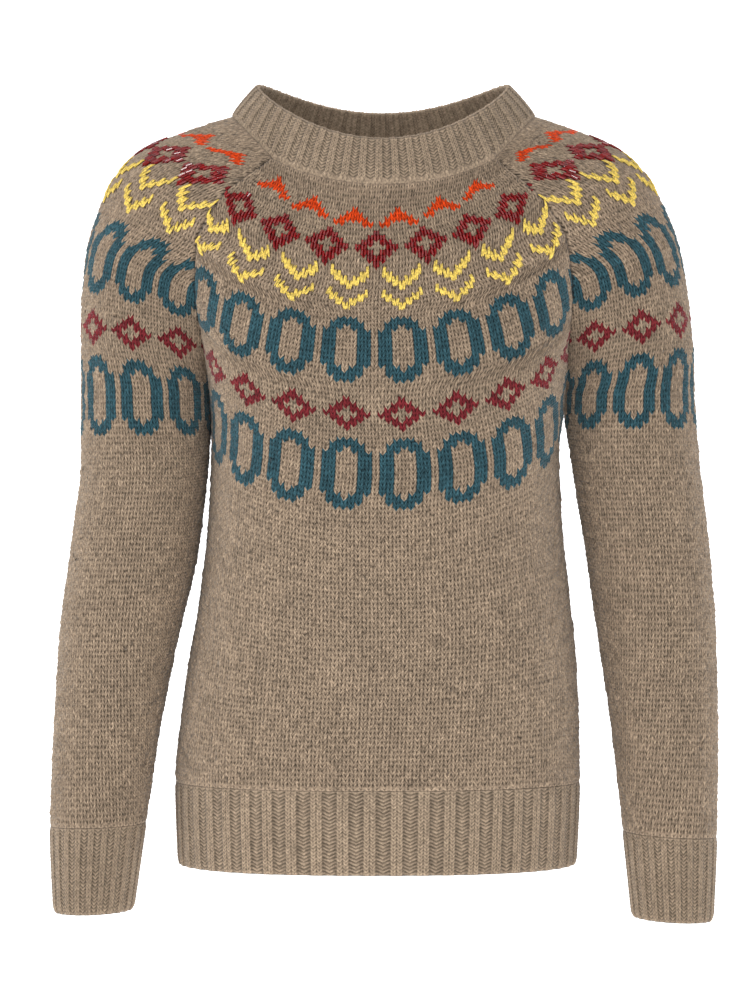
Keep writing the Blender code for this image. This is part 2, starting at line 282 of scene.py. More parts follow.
class JumperCloth(bpy.types.PropertyGroup):
    """Sizes of the knitted cloth that a user would change."""

    wall: bpy.props.FloatProperty(
        name="Wall", description="Thickness of the cloth", default=0.0026, unit="LENGTH")
    relief: bpy.props.FloatProperty(
        name="Relief", description="Height of a stitch's legs over the gaps beside them",
        default=0.0013, unit="LENGTH")
    tilt: bpy.props.FloatProperty(
        name="Tilt", description="How far a stitch's legs rise outwards, in rounds", default=0.46)
    unevenness: bpy.props.FloatProperty(
        name="Unevenness", description="How much hand-knitted stitches differ", default=0.22,
        subtype="FACTOR")
    rib_rise: bpy.props.FloatProperty(
        name="Rib rise", description="How far a knit rib stands over its furrow",
        default=0.0013, unit="LENGTH")
    seam_dip: bpy.props.FloatProperty(
        name="Seam dip", description="Depth of the groove along a sewn seam",
        default=0.0008, unit="LENGTH")


class JumperYarns(bpy.types.PropertyGroup):
    """The yarns' colours."""

    taupe: bpy.props.FloatVectorProperty(
        name="Taupe", description="Heathered wool of the ground", subtype="COLOR",
        default=linear("#a7927c"))
    # The same wool, painted lighter where it is ribbed to make up for the ribs' deeper shade
    painted_lighter_rib_taupe: bpy.props.FloatVectorProperty(
        name="Rib taupe", description="The same wool where it is ribbed", subtype="COLOR",
        default=linear("#ae9982"))
    teal: bpy.props.FloatVectorProperty(
        name="Teal", description="Wool of the ovals", subtype="COLOR",
        default=linear("#365a64"))
    crimson: bpy.props.FloatVectorProperty(
        name="Crimson", description="Wool of the lower diamonds", subtype="COLOR",
        default=linear("#822a30"))
    scarlet: bpy.props.FloatVectorProperty(
        name="Scarlet", description="Wool under the beads", subtype="COLOR",
        default=linear("#86191c"))
    orange: bpy.props.FloatVectorProperty(
        name="Orange", description="Wool of the carets", subtype="COLOR",
        default=linear("#e84a12"))
    yellow: bpy.props.FloatVectorProperty(
        name="Yellow", description="Shiny embroidery yarn of the chevrons", subtype="COLOR",
        default=linear("#f6d662"))
    bead: bpy.props.FloatVectorProperty(
        name="Bead", description="Glass of the bugle beads", subtype="COLOR",
        default=linear("#860a0d"))


class JumperStage(bpy.types.PropertyGroup):
    """The camera, the pale floor and the studio light."""

    distance: bpy.props.FloatProperty(
        name="Camera distance", description="From the jumper's middle", default=3.0,
        unit="LENGTH")
    picture_height: bpy.props.FloatProperty(
        name="Picture height", description="What the picture takes in at the jumper's middle",
        default=0.84, unit="LENGTH")
    middle_x: bpy.props.FloatProperty(
        name="Middle, sideways", description="Where the camera looks", default=-0.0042,
        unit="LENGTH")
    middle_z: bpy.props.FloatProperty(
        name="Middle, height", description="Where the camera looks", default=-0.3175,
        unit="LENGTH")
    floor: bpy.props.FloatProperty(
        name="Floor", description="Height of the floor", default=-0.95, unit="LENGTH")
    key: bpy.props.FloatProperty(
        name="Key light", description="Strength of the front softbox", default=16.5,
        unit="POWER")
    left: bpy.props.FloatProperty(
        name="Left light", description="Strength of the left softbox", default=15.0,
        unit="POWER")
    right: bpy.props.FloatProperty(
        name="Right light", description="Strength of the right softbox", default=3.2,
        unit="POWER")
    spark: bpy.props.FloatProperty(
        name="Spark lights", description="Strength of each small light that makes glints",
        default=9.5, unit="POWER")
    surround: bpy.props.FloatProperty(
        name="Surround", description="Strength of the even light from all round", default=0.52)


class Sections:
    """A table of sections, read between its rows on curves that never overshoot."""

    def __init__(self, columns, rows):
        table = np.array(rows, dtype=float)
        self.rounds = table[:, 0]
        self.columns = {name: table[:, index] for index, name in enumerate(columns)}

    def at(self, rounds):
        """Every column's value at these rounds, as a dictionary of arrays."""
        return {name: self.smooth(values, rounds) for name, values in self.columns.items()}

    def smooth(self, values, rounds):
        """A cubic through the rows whose slope at each is the harmonic mean beside it."""
        step = np.diff(self.rounds)
        slope = np.diff(values) / step
        product = slope[:-1] * slope[1:]
        total = slope[:-1] + slope[1:]
        level = product <= 0
        inner = np.where(level, 0.0, 2 * product / np.where(level, 1.0, total))
        tangent = np.concatenate(([slope[0]], inner, [slope[-1]]))
        k = np.clip(np.searchsorted(self.rounds, rounds, side="right") - 1, 0, len(step) - 1)
        t = (rounds - self.rounds[k]) / step[k]
        start = values[k] * (1 + 2 * t) * (1 - t) ** 2
        end = values[k + 1] * (3 - 2 * t) * t ** 2
        leave = tangent[k] * step[k] * t * (1 - t) ** 2
        arrive = tangent[k + 1] * step[k] * t ** 2 * (1 - t)
        return start + end + leave - arrive


def body_sections():
    """The yoke and body as one table; below the underarm the sleeve columns stay put."""
    sleeve_part = YOKE[-1][len(BODY[0]):]
    return Sections(YOKE_COLUMNS, YOKE + tuple(row + sleeve_part for row in BODY))


def sleeve_sections(side):
    """A sleeve as one table: its share of the yoke's rounds, then the tube's own."""
    sign = SIDES[side]
    rows = []
    for values in YOKE:
        row = dict(zip(YOKE_COLUMNS, values))
        outer_x = row["centre_x"] + sign * row["shoulder_x"]
        inner_x = row["centre_x"] + sign * (row["seam_x"] + PANEL_GAP)
        rows.append((row["round"], outer_x, row["shoulder_z"], inner_x, row["seam_z"],
                     row["back_rise"], row["sleeve_turn"], row["sleeve_half_depth"], 0.0))
    return Sections(SLEEVE_COLUMNS, tuple(rows) + SLEEVES[side])


def fold_depth(folds, across, rounds):
    """How far the folds push the cloth in: soft bumps on slanted axes, none at a seam."""
    depth = np.zeros(np.broadcast(across, rounds).shape)
    for values in folds:
        fold = dict(zip(FOLD_COLUMNS, values))
        side = across - fold["across"]
        along = rounds - fold["round"] - side * fold["drop"]
        reach = (side / fold["reach_across"]) ** 2 + (along / fold["reach_rounds"]) ** 2
        depth += fold["depth"] * np.exp(-reach)
    return depth * np.clip(1 - across ** 4, 0, 1)


def panel_points(facing, across, rounds):
    """The outer face of the front (facing -1) or back (facing 1), as an array of points.

    Each round is an arc of an ellipse seen from above, from the middle of the panel out to the
    seams, and rises from the middle to the seams as one minus a cosine.
    """
    s = body_sections().at(rounds)
    middle_y = s["front_y"] if facing < 0 else s["back_y"]
    middle_z = s["front_z"] if facing < 0 else s["back_z"]
    seam_z = s["seam_z"] + (s["back_rise"] if facing > 0 else 0.0)
    seam_depth = s["sleeve_half_depth"] * np.sin(np.radians(s["sleeve_turn"]))
    seam_y = facing * (seam_depth + SIDE_GAP)
    turn = np.radians(s["panel_turn"])
    angle = across * turn
    rise = (1 - np.cos(angle)) / (1 - np.cos(turn))
    half_width = s["seam_x"] - PANEL_GAP
    x = s["centre_x"] + half_width * np.sin(angle) / np.sin(turn)
    y = middle_y + (seam_y - middle_y) * rise ** s["fullness"]
    z = middle_z + (seam_z - middle_z) * rise
    return np.stack(np.broadcast_arrays(x, y, z), axis=-1)


def sleeve_points(side, across, rounds):
    """The outer face of a sleeve; across is -1 at the front seam, 0 outermost, 1 at the back."""
    s = sleeve_sections(side).at(rounds)
    turn = np.radians(s["turn"])
    angle = across * turn
    reach = (1 - np.cos(angle)) / (1 - np.cos(turn))
    inner_z = s["inner_z"] + np.where(across > 0, s["back_rise"], 0.0)
    x = s["outer_x"] + (s["inner_x"] - s["outer_x"]) * reach
    y = s["middle_y"] + s["half_depth"] * np.sin(angle)
    z = s["outer_z"] + (inner_z - s["outer_z"]) * reach
    return np.stack(np.broadcast_arrays(x, y, z), axis=-1)


def unit(vectors):
    """The same vectors at length one."""
    return vectors / np.maximum(np.linalg.norm(vectors, axis=-1, keepdims=True), 1e-12)


def surface_normals(surface, across, rounds, steps):
    """Unit normals of a surface, from the differences of its points a little to each side."""
    side_step, down_step = steps
    side = surface(across + side_step, rounds) - surface(across - side_step, rounds)
    down = surface(across, rounds + down_step) - surface(across, rounds - down_step)
    return unit(np.cross(side, down))


class Cloth:
    """One piece of cloth: a way from stitches and rounds to points on the garment.

    surface gives the outer face from a share across and a round. A stitch's distance from the
    pattern's middle is its count times the gauge's width, measured along its round.
    """

    def __init__(self, surface, folds, gauge, rounds, facing_out, lean, fanned):
        self.surface = surface
        self.folds = folds
        self.lean = lean
        self.fanned = fanned
        self.gauge = Sections(GAUGE_COLUMNS, gauge)
        self.first, self.last = rounds
        self.turned = 1.0
        self.measure()
        middle = self.normals(np.zeros(1), np.array([(self.first + self.last) / 2]))[0]
        self.turned = 1.0 if float(np.dot(middle, facing_out)) > 0 else -1.0

    def measure(self):
        """Measures each round outwards from its middle, and tabulates share across by length.

        Lengths of successive rounds are laid end to end, so that one interpolation reads all.
        """
        self.stations = np.arange(np.floor(self.first), np.ceil(self.last) + 1)
        share = np.linspace(-1, 1, ARC_SAMPLES + 1)
        points = self.surface(share[None, :], self.stations[:, None])
        steps = np.linalg.norm(np.diff(points, axis=1), axis=-1)
        length = np.concatenate((np.zeros((len(points), 1)), np.cumsum(steps, axis=1)), axis=1)
        length -= length[:, ARC_SAMPLES // 2, None]
        self.to_first_seam = -length[:, 0]
        self.to_last_seam = length[:, -1]
        wanted = np.where(share < 0, share * self.to_first_seam[:, None],
                          share * self.to_last_seam[:, None])
        apart = (np.arange(len(points)) * (2 * np.abs(length).max() + 1))[:, None]
        found = np.interp((wanted + apart).ravel(), (length + apart).ravel(),
                          np.tile(share, len(points)))
        self.across_table = found.reshape(wanted.shape)

    def reach(self, rounds):
        """The lengths along these rounds from the middle to both seams."""
        return (np.interp(rounds, self.stations, self.to_first_seam),
                np.interp(rounds, self.stations, self.to_last_seam))

    def across(self, along, rounds):
        """The share across at a length along a round, read between the table's entries."""
        low, high = self.reach(rounds)
        share = np.clip(np.where(along < 0, along / low, along / high), -1, 1)
        row = np.clip(rounds - self.stations[0], 0, len(self.stations) - 1 - JUST_INSIDE)
        column = np.minimum((share + 1) * ARC_SAMPLES / 2, ARC_SAMPLES - JUST_INSIDE)
        r, c = row.astype(int), column.astype(int)
        fr, fc = row - r, column - c
        table = self.across_table
        above = table[r, c] * (1 - fc) + table[r, c + 1] * fc
        below = table[r + 1, c] * (1 - fc) + table[r + 1, c + 1] * fc
        return above * (1 - fr) + below * fr

    def along(self, stitches, rounds):
        """The length along each round at a stitch count from the pattern's middle.

        Inside each fan the stitches widen down the rounds, and return to the gauge below it.
        """
        gauge = self.gauge.at(rounds)
        width = gauge["stitch_width"]
        for values in FANS:
            fan = dict(zip(FAN_COLUMNS, values))
            down = (rounds - fan["middle_round"]) / fan["half_height"]
            leave = (np.abs(down) - 1) * fan["half_height"] / FAN_RETURN
            spread = fan["spread"] * fan["half_height"] * self.fanned
            width = width + spread * np.clip(down, -1, 1) * np.exp(-np.maximum(leave, 0) ** 2)
        return stitches * width + gauge["middle"]

    def to_seam(self, stitches, rounds):
        """How far a stitch lies inside the nearer seam, in millimetres, negative beyond it."""
        low, high = self.reach(rounds)
        along = self.along(stitches, rounds)
        return np.minimum(along + low, high - along)

    def normals(self, across, rounds):
        """Unit normals that point out of the garment."""
        return surface_normals(self.surface, across, rounds, CLOTH_STEPS) * self.turned

    def at_share(self, across, rounds):
        """Points of the folded cloth and their outward normals, from shares across.

        The rounds lie higher towards the higher shoulder, by the lean times a smooth fade, and
        over the top of a sleeve, by a rise that goes up and down again as a squared sine.
        """
        share = np.where(rounds < SHOULDER_ROUND, rounds / SHOULDER_ROUND,
                         (SHOULDER_END - rounds) / (SHOULDER_END - SHOULDER_ROUND))
        rise = np.sin(np.pi / 2 * np.clip(share, 0, 1)) ** 2 * (1 - self.fanned)
        fade = np.clip(rounds / LEAN_START, 0, 1)
        fade = fade * np.clip((LEAN_END[1] - rounds) / (LEAN_END[1] - LEAN_END[0]), 0, 1)
        rounds = rounds - LEAN * self.lean(across) * fade - SHOULDER_RISE * rise
        normals = self.normals(across, rounds)
        depth = fold_depth(self.folds, across, rounds)
        return self.surface(across, rounds) - depth[..., None] * normals, normals

    def at(self, stitches, rounds):
        """Points of the folded cloth and their outward normals, from stitch counts."""
        return self.at_share(self.across(self.along(stitches, rounds), rounds), rounds)


def edge_strip(fine, coarse, step):
    """Triangles that close an edge between a fine row of points and every step-th inside it."""
    corner = np.arange(len(fine) - 1)
    fans = np.stack((fine[:-1], fine[1:], coarse[corner // step]), axis=1)
    gaps = np.stack((fine[step::step], coarse[1:], coarse[:-1]), axis=1)
    return np.concatenate((fans, gaps))


def grid_triangles(index, leaning):
    """Two triangles for each quad of a grid; leaning says which way each quad is cut."""
    a, b = index[:-1, :-1].ravel(), index[:-1, 1:].ravel()
    d, c = index[1:, :-1].ravel(), index[1:, 1:].ravel()
    lean = np.broadcast_to(leaning, index[:-1, :-1].shape).ravel()[:, None]
    first = np.where(lean, np.stack((a, b, c), 1), np.stack((a, b, d), 1))
    second = np.where(lean, np.stack((a, c, d), 1), np.stack((b, c, d), 1))
    return np.stack((first, second), axis=1).reshape(-1, 3)


def add_mesh(name, points, triangles, materials, uvs=None, colours=None, tuck=None, kinds=None):
    """A mesh object in metres from points in millimetres, without points that nothing uses.

    colours has one linear colour for each triangle, kinds says which of the materials it shows,
    and uvs and the painted shade, how dark each point is painted in shade, have one value for each
    point.
    """
    whole = ((triangles[:, 0] != triangles[:, 1]) & (triangles[:, 1] != triangles[:, 2])
             & (triangles[:, 2] != triangles[:, 0]))
    triangles = triangles[whole]
    used, renumbered = np.unique(triangles, return_inverse=True)
    renumbered = renumbered.reshape(-1, 3).astype(np.int32)
    mesh = bpy.data.meshes.new(name)
    mesh.vertices.add(len(used))
    mesh.vertices.foreach_set("co", (points[used] * MM).astype(np.float32).ravel())
    mesh.loops.add(renumbered.size)
    mesh.loops.foreach_set("vertex_index", renumbered.ravel())
    mesh.polygons.add(len(renumbered))
    mesh.polygons.foreach_set("loop_start", np.arange(0, renumbered.size, 3, dtype=np.int32))
    if kinds is not None:
        mesh.polygons.foreach_set("material_index", kinds[whole].astype(np.int32))
    mesh.update(calc_edges=True)
    if uvs is not None:
        layer = mesh.uv_layers.new(name="stitches")
        layer.data.foreach_set("uv", uvs[used][renumbered.ravel()].astype(np.float32).ravel())
    if colours is not None:
        layer = mesh.color_attributes.new("yarn", "FLOAT_COLOR", "CORNER")
        full = np.concatenate((colours[whole], np.ones((len(renumbered), 1))), axis=1)
        layer.data.foreach_set("color", np.repeat(full, 3, axis=0).astype(np.float32).ravel())
    if tuck is not None:
        layer = mesh.attributes.new("tuck", "FLOAT", "POINT")
        layer.data.foreach_set("value", tuck[used].astype(np.float32))
    mesh.validate()
    mesh.shade_smooth()
    piece = bpy.data.objects.new(name, mesh)
    bpy.context.scene.collection.objects.link(piece)
    for material in materials:
        mesh.materials.append(material)
    return piece


def add_wall(name, outer, inner, faces, turned, uvs, colours, tuck, material):
    """A closed wall of cloth: an outer grid of points, a lining and the rims that join them.

    faces holds the triangles of the outside, the lining and the rims, all turned round where
    turned is true. The lining and the rims show the wool's reverse.
    """
    outside, lining, rims = faces
    triangles = np.concatenate(faces)
    # Every point of the lining is painted the same shade
    return add_mesh(
        name,
        np.concatenate((outer.reshape(-1, 3), inner.reshape(-1, 3))),
        triangles[:, ::-1] if turned else triangles,
        (material, wool_reverse_material()),
        uvs=np.concatenate([np.stack(pair, axis=-1).reshape(-1, 2) for pair in uvs]),
        colours=colours,
        tuck=np.concatenate((tuck.ravel(), np.full(inner.size // 3, LINING_PAINTED_SHADE))),
        kinds=np.concatenate((np.zeros(len(outside)), np.ones(len(lining) + len(rims)))),
    )


def laid_stitches(node):
    """The stitches laid out on a piece, counted from the pattern's middle."""
    return np.arange(SPANS[node][0], SPANS[node][1] + 1)


def chart_columns(node, stitches, shift):
    """The chart column that each stitch takes, where a band is moved by this many stitches."""
    return np.mod(stitches - CHART_SHIFTS[node] - shift + MOTIF_MIDDLE, REPEAT)


def stitch_colours(node, cloth, rounds, stitches):
    """The yarn of each stitch, from the charts, as an array of rounds by stitches by colour."""
    yarns = bpy.context.scene.jumper_yarns
    colours = np.empty((len(rounds), len(stitches), 3))
    colours[:] = yarns.taupe
    for values in BANDS:
        band = dict(zip(BAND_COLUMNS, values))
        chart = np.array([[mark == "X" for mark in row] for row in CHARTS[band["chart"]]])
        first = band["first_round" if cloth.fanned else "sleeve_round"]
        column = chart_columns(node, stitches, band["shift"])
        row = np.repeat((rounds - first)[:, None], len(stitches), axis=1)
        inside = np.ones(row.shape, dtype=bool)
        if band["chart"] == WHOLE_CHART:
            middle = stitches - column + MOTIF_MIDDLE
            level = np.full(len(stitches), float(first))
            width = cloth.gauge.at(level)["stitch_width"]
            inside &= cloth.to_seam(middle, level) > WHOLE_ROOM * width
            rise = np.rint(np.interp(np.abs(middle), *CARET_RISE) * cloth.fanned)
            row = row + rise.astype(int)
        inside &= (row >= 0) & (row < len(chart))
        worked = chart[np.clip(row, 0, len(chart) - 1), column] & inside
        colours[worked] = getattr(yarns, band["yarn"])
    return colours


def end_on_seams(values, beyond, first_half, first, last):
    """The values, but the first or the last in columns that lie beyond that seam."""
    return np.where(beyond & first_half, first, np.where(beyond, last, values))


def joined_seam(index, first_row):
    """The rows of a grid from first_row on, with the last seam's points made the first's."""
    rows = index[first_row:]
    return np.where(rows == rows[:, -1:], rows[:, :1], rows)


def knit(node, cloth, seed, joined_from=None):
    """Knits a whole piece in stocking stitch and returns its object.

    Each stitch is a V: its outer columns lie higher up than its middle, its two legs stand out
    and the gaps between wales and rounds sink in. Columns that pass a seam end on it. The inner
    face is one quad to a stitch, one wall inside. From the round joined_from down, the two
    seams are one, and the piece is a tube.
    """
    sizes = bpy.context.scene.jumper_cloth
    stitches = laid_stitches(node)
    rounds = np.arange(int(cloth.first), int(cloth.last))
    rows = len(rounds) * ROWS_PER_ROUND + 1
    columns = len(stitches) * COLUMNS_PER_STITCH + 1
    place, level = np.meshgrid(
        stitches[0] - 0.5 + np.arange(columns) / COLUMNS_PER_STITCH,
        cloth.first + np.arange(rows) / ROWS_PER_ROUND)
    phase = np.arange(columns) % COLUMNS_PER_STITCH
    stage = np.arange(rows) % ROWS_PER_ROUND
    of_row = np.minimum(np.arange(rows) // ROWS_PER_ROUND, len(rounds) - 1)
    of_column = np.minimum(np.arange(columns) // COLUMNS_PER_STITCH, len(stitches) - 1)
    random = np.random.default_rng(seed)
    uneven = random.normal(0, sizes.unevenness, (len(rounds), len(stitches)))
    uneven = uneven[of_row][:, of_column]
    sideways = random.normal(0, STRAY_ACROSS, place.shape) * (phase != 0)
    upwards = random.normal(0, STRAY_DOWN, place.shape)

    inside = cloth.to_seam(place, level)
    width = cloth.gauge.at(level)["stitch_width"]
    beyond = inside < SEAM_SHARE * width
    first_half = np.arange(columns) < columns // 2
    ends = np.clip(np.minimum(level - cloth.first, cloth.last - level), 0, 1)
    fade = np.clip(inside / width, 0, 1) * ends
    sheared = level + (np.array(SHEAR_PROFILE)[phase] * sizes.tilt + upwards) * fade
    along = cloth.along(place + sideways * fade, sheared)
    low, high = cloth.reach(level)
    along = end_on_seams(along, beyond, first_half, -low, high)
    sheared = np.where(beyond, level, sheared)
    points, normals = cloth.at_share(cloth.across(along, sheared), sheared)

    legs = np.array(RELIEF_PROFILE)[stage][:, phase] + uneven * (phase % 2 == 1)
    seam = np.where(beyond, 1.0, np.exp(-(np.maximum(inside, 0) / SEAM_REACH) ** 2))
    height = (sizes.relief * legs * fade - sizes.seam_dip * seam * ends) / MM
    outer = points + normals * height[..., None]
    # Painted shade: dark in the gaps between legs and rounds, lighter on the legs, darker along the
    # seams' grooves and less at a piece's ends
    tuck = np.array(PAINTED_SHADE_PROFILE)[stage][:, phase]
    tuck = tuck - UNEVEN_PAINTED_SHADE * uneven + random.normal(0, STRAY_PAINTED_SHADE, place.shape)
    tuck = np.clip(np.maximum(tuck, SEAM_PAINTED_SHADE * seam), 0, 1)
    tuck = tuck * (END_PAINTED_SHADE + (1 - END_PAINTED_SHADE) * ends)

    coarse = (slice(None, None, ROWS_PER_ROUND), slice(None, None, COLUMNS_PER_STITCH))
    inner_place, inner_level, inner_beyond = place[coarse], level[coarse], beyond[coarse]
    inner_half = first_half[::COLUMNS_PER_STITCH]
    low, high = cloth.reach(inner_level)
    inner_along = cloth.along(inner_place, inner_level)
    inner_along = end_on_seams(inner_along, inner_beyond, inner_half, -low, high)
    inner_across = cloth.across(inner_along, inner_level)
    inner_points, inner_normals = cloth.at_share(inner_across, inner_level)
    inner_points = inner_points - inner_normals * sizes.wall / MM

    index = np.arange(place.size).reshape(place.shape)
    index = end_on_seams(index, beyond, first_half, index[:, :1], index[:, -1:])
    inner = place.size + np.arange(inner_place.size).reshape(inner_place.shape)
    inner = end_on_seams(inner, inner_beyond, inner_half, inner[:, :1], inner[:, -1:])
    open_rounds = len(rounds)
    if joined_from is not None:
        open_rounds = joined_from - int(cloth.first)
        index[open_rounds * ROWS_PER_ROUND:] = joined_seam(index, open_rounds * ROWS_PER_ROUND)
        inner[open_rounds:] = joined_seam(inner, open_rounds)
    slit = index[:open_rounds * ROWS_PER_ROUND + 1]
    inner_slit = inner[:open_rounds + 1]
    outside = grid_triangles(index, (phase[:-1] < COLUMNS_PER_STITCH // 2)[None, :])
    lining = grid_triangles(inner, True)[:, ::-1]
    rims = np.concatenate((
        edge_strip(slit[:, 0], inner_slit[:, 0], ROWS_PER_ROUND),
        edge_strip(slit[::-1, -1], inner_slit[::-1, -1], ROWS_PER_ROUND),
        edge_strip(index[0, ::-1], inner[0, ::-1], COLUMNS_PER_STITCH),
        edge_strip(index[-1], inner[-1], COLUMNS_PER_STITCH),
    ))

    by_stitch = stitch_colours(node, cloth, rounds, stitches)
    tone = 1 + random.normal(0, STRAY_TONE, by_stitch.shape[:2])
    by_stitch = by_stitch * tone[..., None]
    by_quad = by_stitch[of_row[:-1]][:, of_column[:-1]]
    colours = np.concatenate((
        np.repeat(by_quad.reshape(-1, 3), 2, axis=0),
        np.repeat(by_stitch.reshape(-1, 3), 2, axis=0),
        np.tile(np.array(bpy.context.scene.jumper_yarns.taupe), (len(rims), 1))))
    return add_wall("knitted_" + node, outer, inner_points, (outside, lining, rims),
                    cloth.turned < 0, ((place, sheared), (inner_place, inner_level)), colours,
                    tuck, wool_knit_material())


# One rib, as shares of its width: eight columns over two knit wales, then four over the furrow
RIB_KNIT_START = 0.47
RIB_KNIT_END = 0.95
KNIT_COLUMNS = 8
PURL_COLUMNS = 4
RIB_LIFT = (0.45, 1.15, 0.85, 1.15, 0.70, 1.15, 0.85, 1.15, 0.45, 0.0, 0.10, 0.0)
RIB_SHEAR = (-1.0, 0.0, 1.0, 0.0, -1.0, 0.0, 1.0, 0.0, -1.0, -0.1, 0.9, -0.1)
# How dark each column is painted in shade: dark in the gaps and furrow, light on the legs
RIB_PAINTED_SHADE = (0.80, 0.0, 0.42, 0.0, 0.65, 0.0, 0.42, 0.0, 0.80, 0.52, 0.34, 0.52)
RIB_BARS = (0.0, 0.0, 0.0, 0.0, 0.0, 0.0, 0.0, 0.0, 0.0, 1.0, 1.0, 1.0)
STITCHES_PER_RIB = 4

# What the two rows of a round add: height to a bar and to a crest, in millimetres, and painted
# shade
BAR_HEIGHTS = (-0.32, 0.48)
CREST_HEIGHTS = (-0.22, 0.10)
RIB_ROW_PAINTED_SHADES = (0.38, -0.30)

# How a hem or cuff is knitted: its rows, how far it strays down and out, how it starts flush with
# the cloth, its sewn ends, and its last rows, which turn in by these millimetres
RIB_ROWS = 24
RIB_STRAY_DOWN = 0.06
RIB_STRAY_OUT = 0.09
RIB_SINK = 0.55
RIB_RAMP_ROWS = 1.2
# How dark the rib is painted in shade where it starts by the cloth
RIB_START_PAINTED_SHADE = 0.3
RIB_SEAM_COLUMNS = 1.5
RIB_SEAM_DIP = 0.6
CURL_ROWS = 2.5
HEM_CURL = 1.2
CUFF_CURL = 1.8


def rib_columns(ribs, closed):
    """Places of the columns from 0 to 1, with each column's lift, shear, painted shade and bar."""
    knit = np.linspace(RIB_KNIT_START, RIB_KNIT_END, KNIT_COLUMNS, endpoint=False)
    purl = np.linspace(RIB_KNIT_END, RIB_KNIT_START + 1, PURL_COLUMNS, endpoint=False)
    one = np.concatenate((knit, purl))
    places = (np.arange(-1, ribs + 1)[:, None] + one).ravel()
    table = np.stack([np.tile(values, ribs + 2)
                      for values in (RIB_LIFT, RIB_SHEAR, RIB_PAINTED_SHADE, RIB_BARS)])
    if closed:
        kept = (places >= RIB_KNIT_START - 1e-9) & (places <= ribs + RIB_KNIT_START + 1e-9)
        return places[kept] / ribs, table[:, kept]
    kept = (places > 0.02) & (places < ribs - 0.02)
    ends = np.array([[0.0], [0.0], [0.6], [1.0]])
    places = np.concatenate(([0.0], places[kept], [ribs]))
    return places / ribs, np.concatenate((ends, table[:, kept], ends), axis=1)


def turned_in(curl, rows_left):
    """How far a bound-off edge turns in: the square of the share done of its last rows."""
    return curl * np.clip((CURL_ROWS - rows_left) / CURL_ROWS, 0, 1) ** 2


def rib(name, surface_at, ribs, closed, seed, curl):
    """Knits a band of two-by-two rib and returns its object.

    surface_at gives points and outward normals from places around, 0 to 1, and rows down, 0 to
    1. Knit wales stand out in Vs, and the furrows between them hold a low bar on each row. The
    last rows turn in by curl millimetres, as a bound-off edge does.
    """
    sizes = bpy.context.scene.jumper_cloth
    places, (lift, shear, tuck, bars) = rib_columns(ribs, closed)
    levels = RIB_ROWS * ROWS_PER_ROUND + 1
    random = np.random.default_rng(seed)
    place, level = np.meshgrid(places, np.arange(levels) / ROWS_PER_ROUND)
    stage = (np.arange(levels) % ROWS_PER_ROUND)[:, None]
    ends = np.clip(np.minimum(level, RIB_ROWS - level), 0, 1)
    wander = random.normal(0, RIB_STRAY_DOWN, place.shape) * ends
    sheared = level + shear * sizes.tilt * ends + wander
    points, normals = surface_at(place, sheared / RIB_ROWS)
    uneven = random.normal(0, RIB_STRAY_OUT, place.shape)
    bar = np.array(BAR_HEIGHTS)[stage] * bars
    crest = np.array(CREST_HEIGHTS)[stage] * (1 - bars)
    ramp = np.clip(level / RIB_RAMP_ROWS, 0, 1)
    seam = np.zeros(len(places))
    if not closed:
        from_end = np.minimum(np.arange(len(places)), np.arange(len(places))[::-1])
        seam = np.exp(-(from_end / RIB_SEAM_COLUMNS) ** 2)
    height = (sizes.rib_rise / MM * lift - RIB_SINK - RIB_SEAM_DIP * seam) * ramp
    height = height + (bar + crest + uneven) * ends - turned_in(curl, RIB_ROWS - level)
    outer = points + normals * height[..., None]

    coarse = PURL_COLUMNS if closed else 1
    inner_place, inner_level = np.meshgrid(places[::coarse], np.arange(RIB_ROWS + 1) / RIB_ROWS)
    inner_points, inner_normals = surface_at(inner_place, inner_level)
    inset = sizes.wall / MM + turned_in(curl, (1 - inner_level) * RIB_ROWS)
    inner_points = inner_points - inner_normals * inset[..., None]
    index = np.arange(place.size).reshape(place.shape)
    inner = place.size + np.arange(inner_place.size).reshape(inner_place.shape)
    if closed:
        index[:, -1] = index[:, 0]
        inner[:, -1] = inner[:, 0]
    outside = grid_triangles(index, (shear[:-1] < shear[1:])[None, :])
    lining = grid_triangles(inner, True)[:, ::-1]
    rims = [edge_strip(index[0, ::-1], inner[0, ::-1], coarse),
            edge_strip(index[-1], inner[-1], coarse)]
    if not closed:
        rims += [edge_strip(index[:, 0], inner[:, 0], ROWS_PER_ROUND),
                 edge_strip(index[::-1, -1], inner[::-1, -1], ROWS_PER_ROUND)]
    rims = np.concatenate(rims)
    row, column = levels // 2, len(places) // 2
    facing = np.cross(points[row, column + 1] - points[row, column - 1],
                      points[row + 1, column] - points[row - 1, column])
    turned = float(np.dot(facing, normals[row, column])) < 0

    tone = 1 + random.normal(0, STRAY_TONE, (levels - 1, len(places) - 1))
    base = np.array(bpy.context.scene.jumper_yarns.painted_lighter_rib_taupe)
    colours = np.concatenate((np.repeat(tone.ravel(), 2)[:, None] * base,
                              np.tile(base, (len(lining) + len(rims), 1))))
    # Painted shade: dark in the furrows and between rows, along sewn ends and where the rib starts
    # by the cloth
    painted_shades = np.clip(tuck + np.array(RIB_ROW_PAINTED_SHADES)[stage], 0, 1)
    painted_shades = np.maximum(np.maximum(painted_shades, SEAM_PAINTED_SHADE * seam), RIB_START_PAINTED_SHADE * (1 - ramp))
    counts = ribs * STITCHES_PER_RIB
    return add_wall(name, outer, inner_points, (outside, lining, rims), turned,
                    ((place * counts, sheared), (inner_place * counts, inner_level * RIB_ROWS)),
                    colours, painted_shades, wool_rib_material())


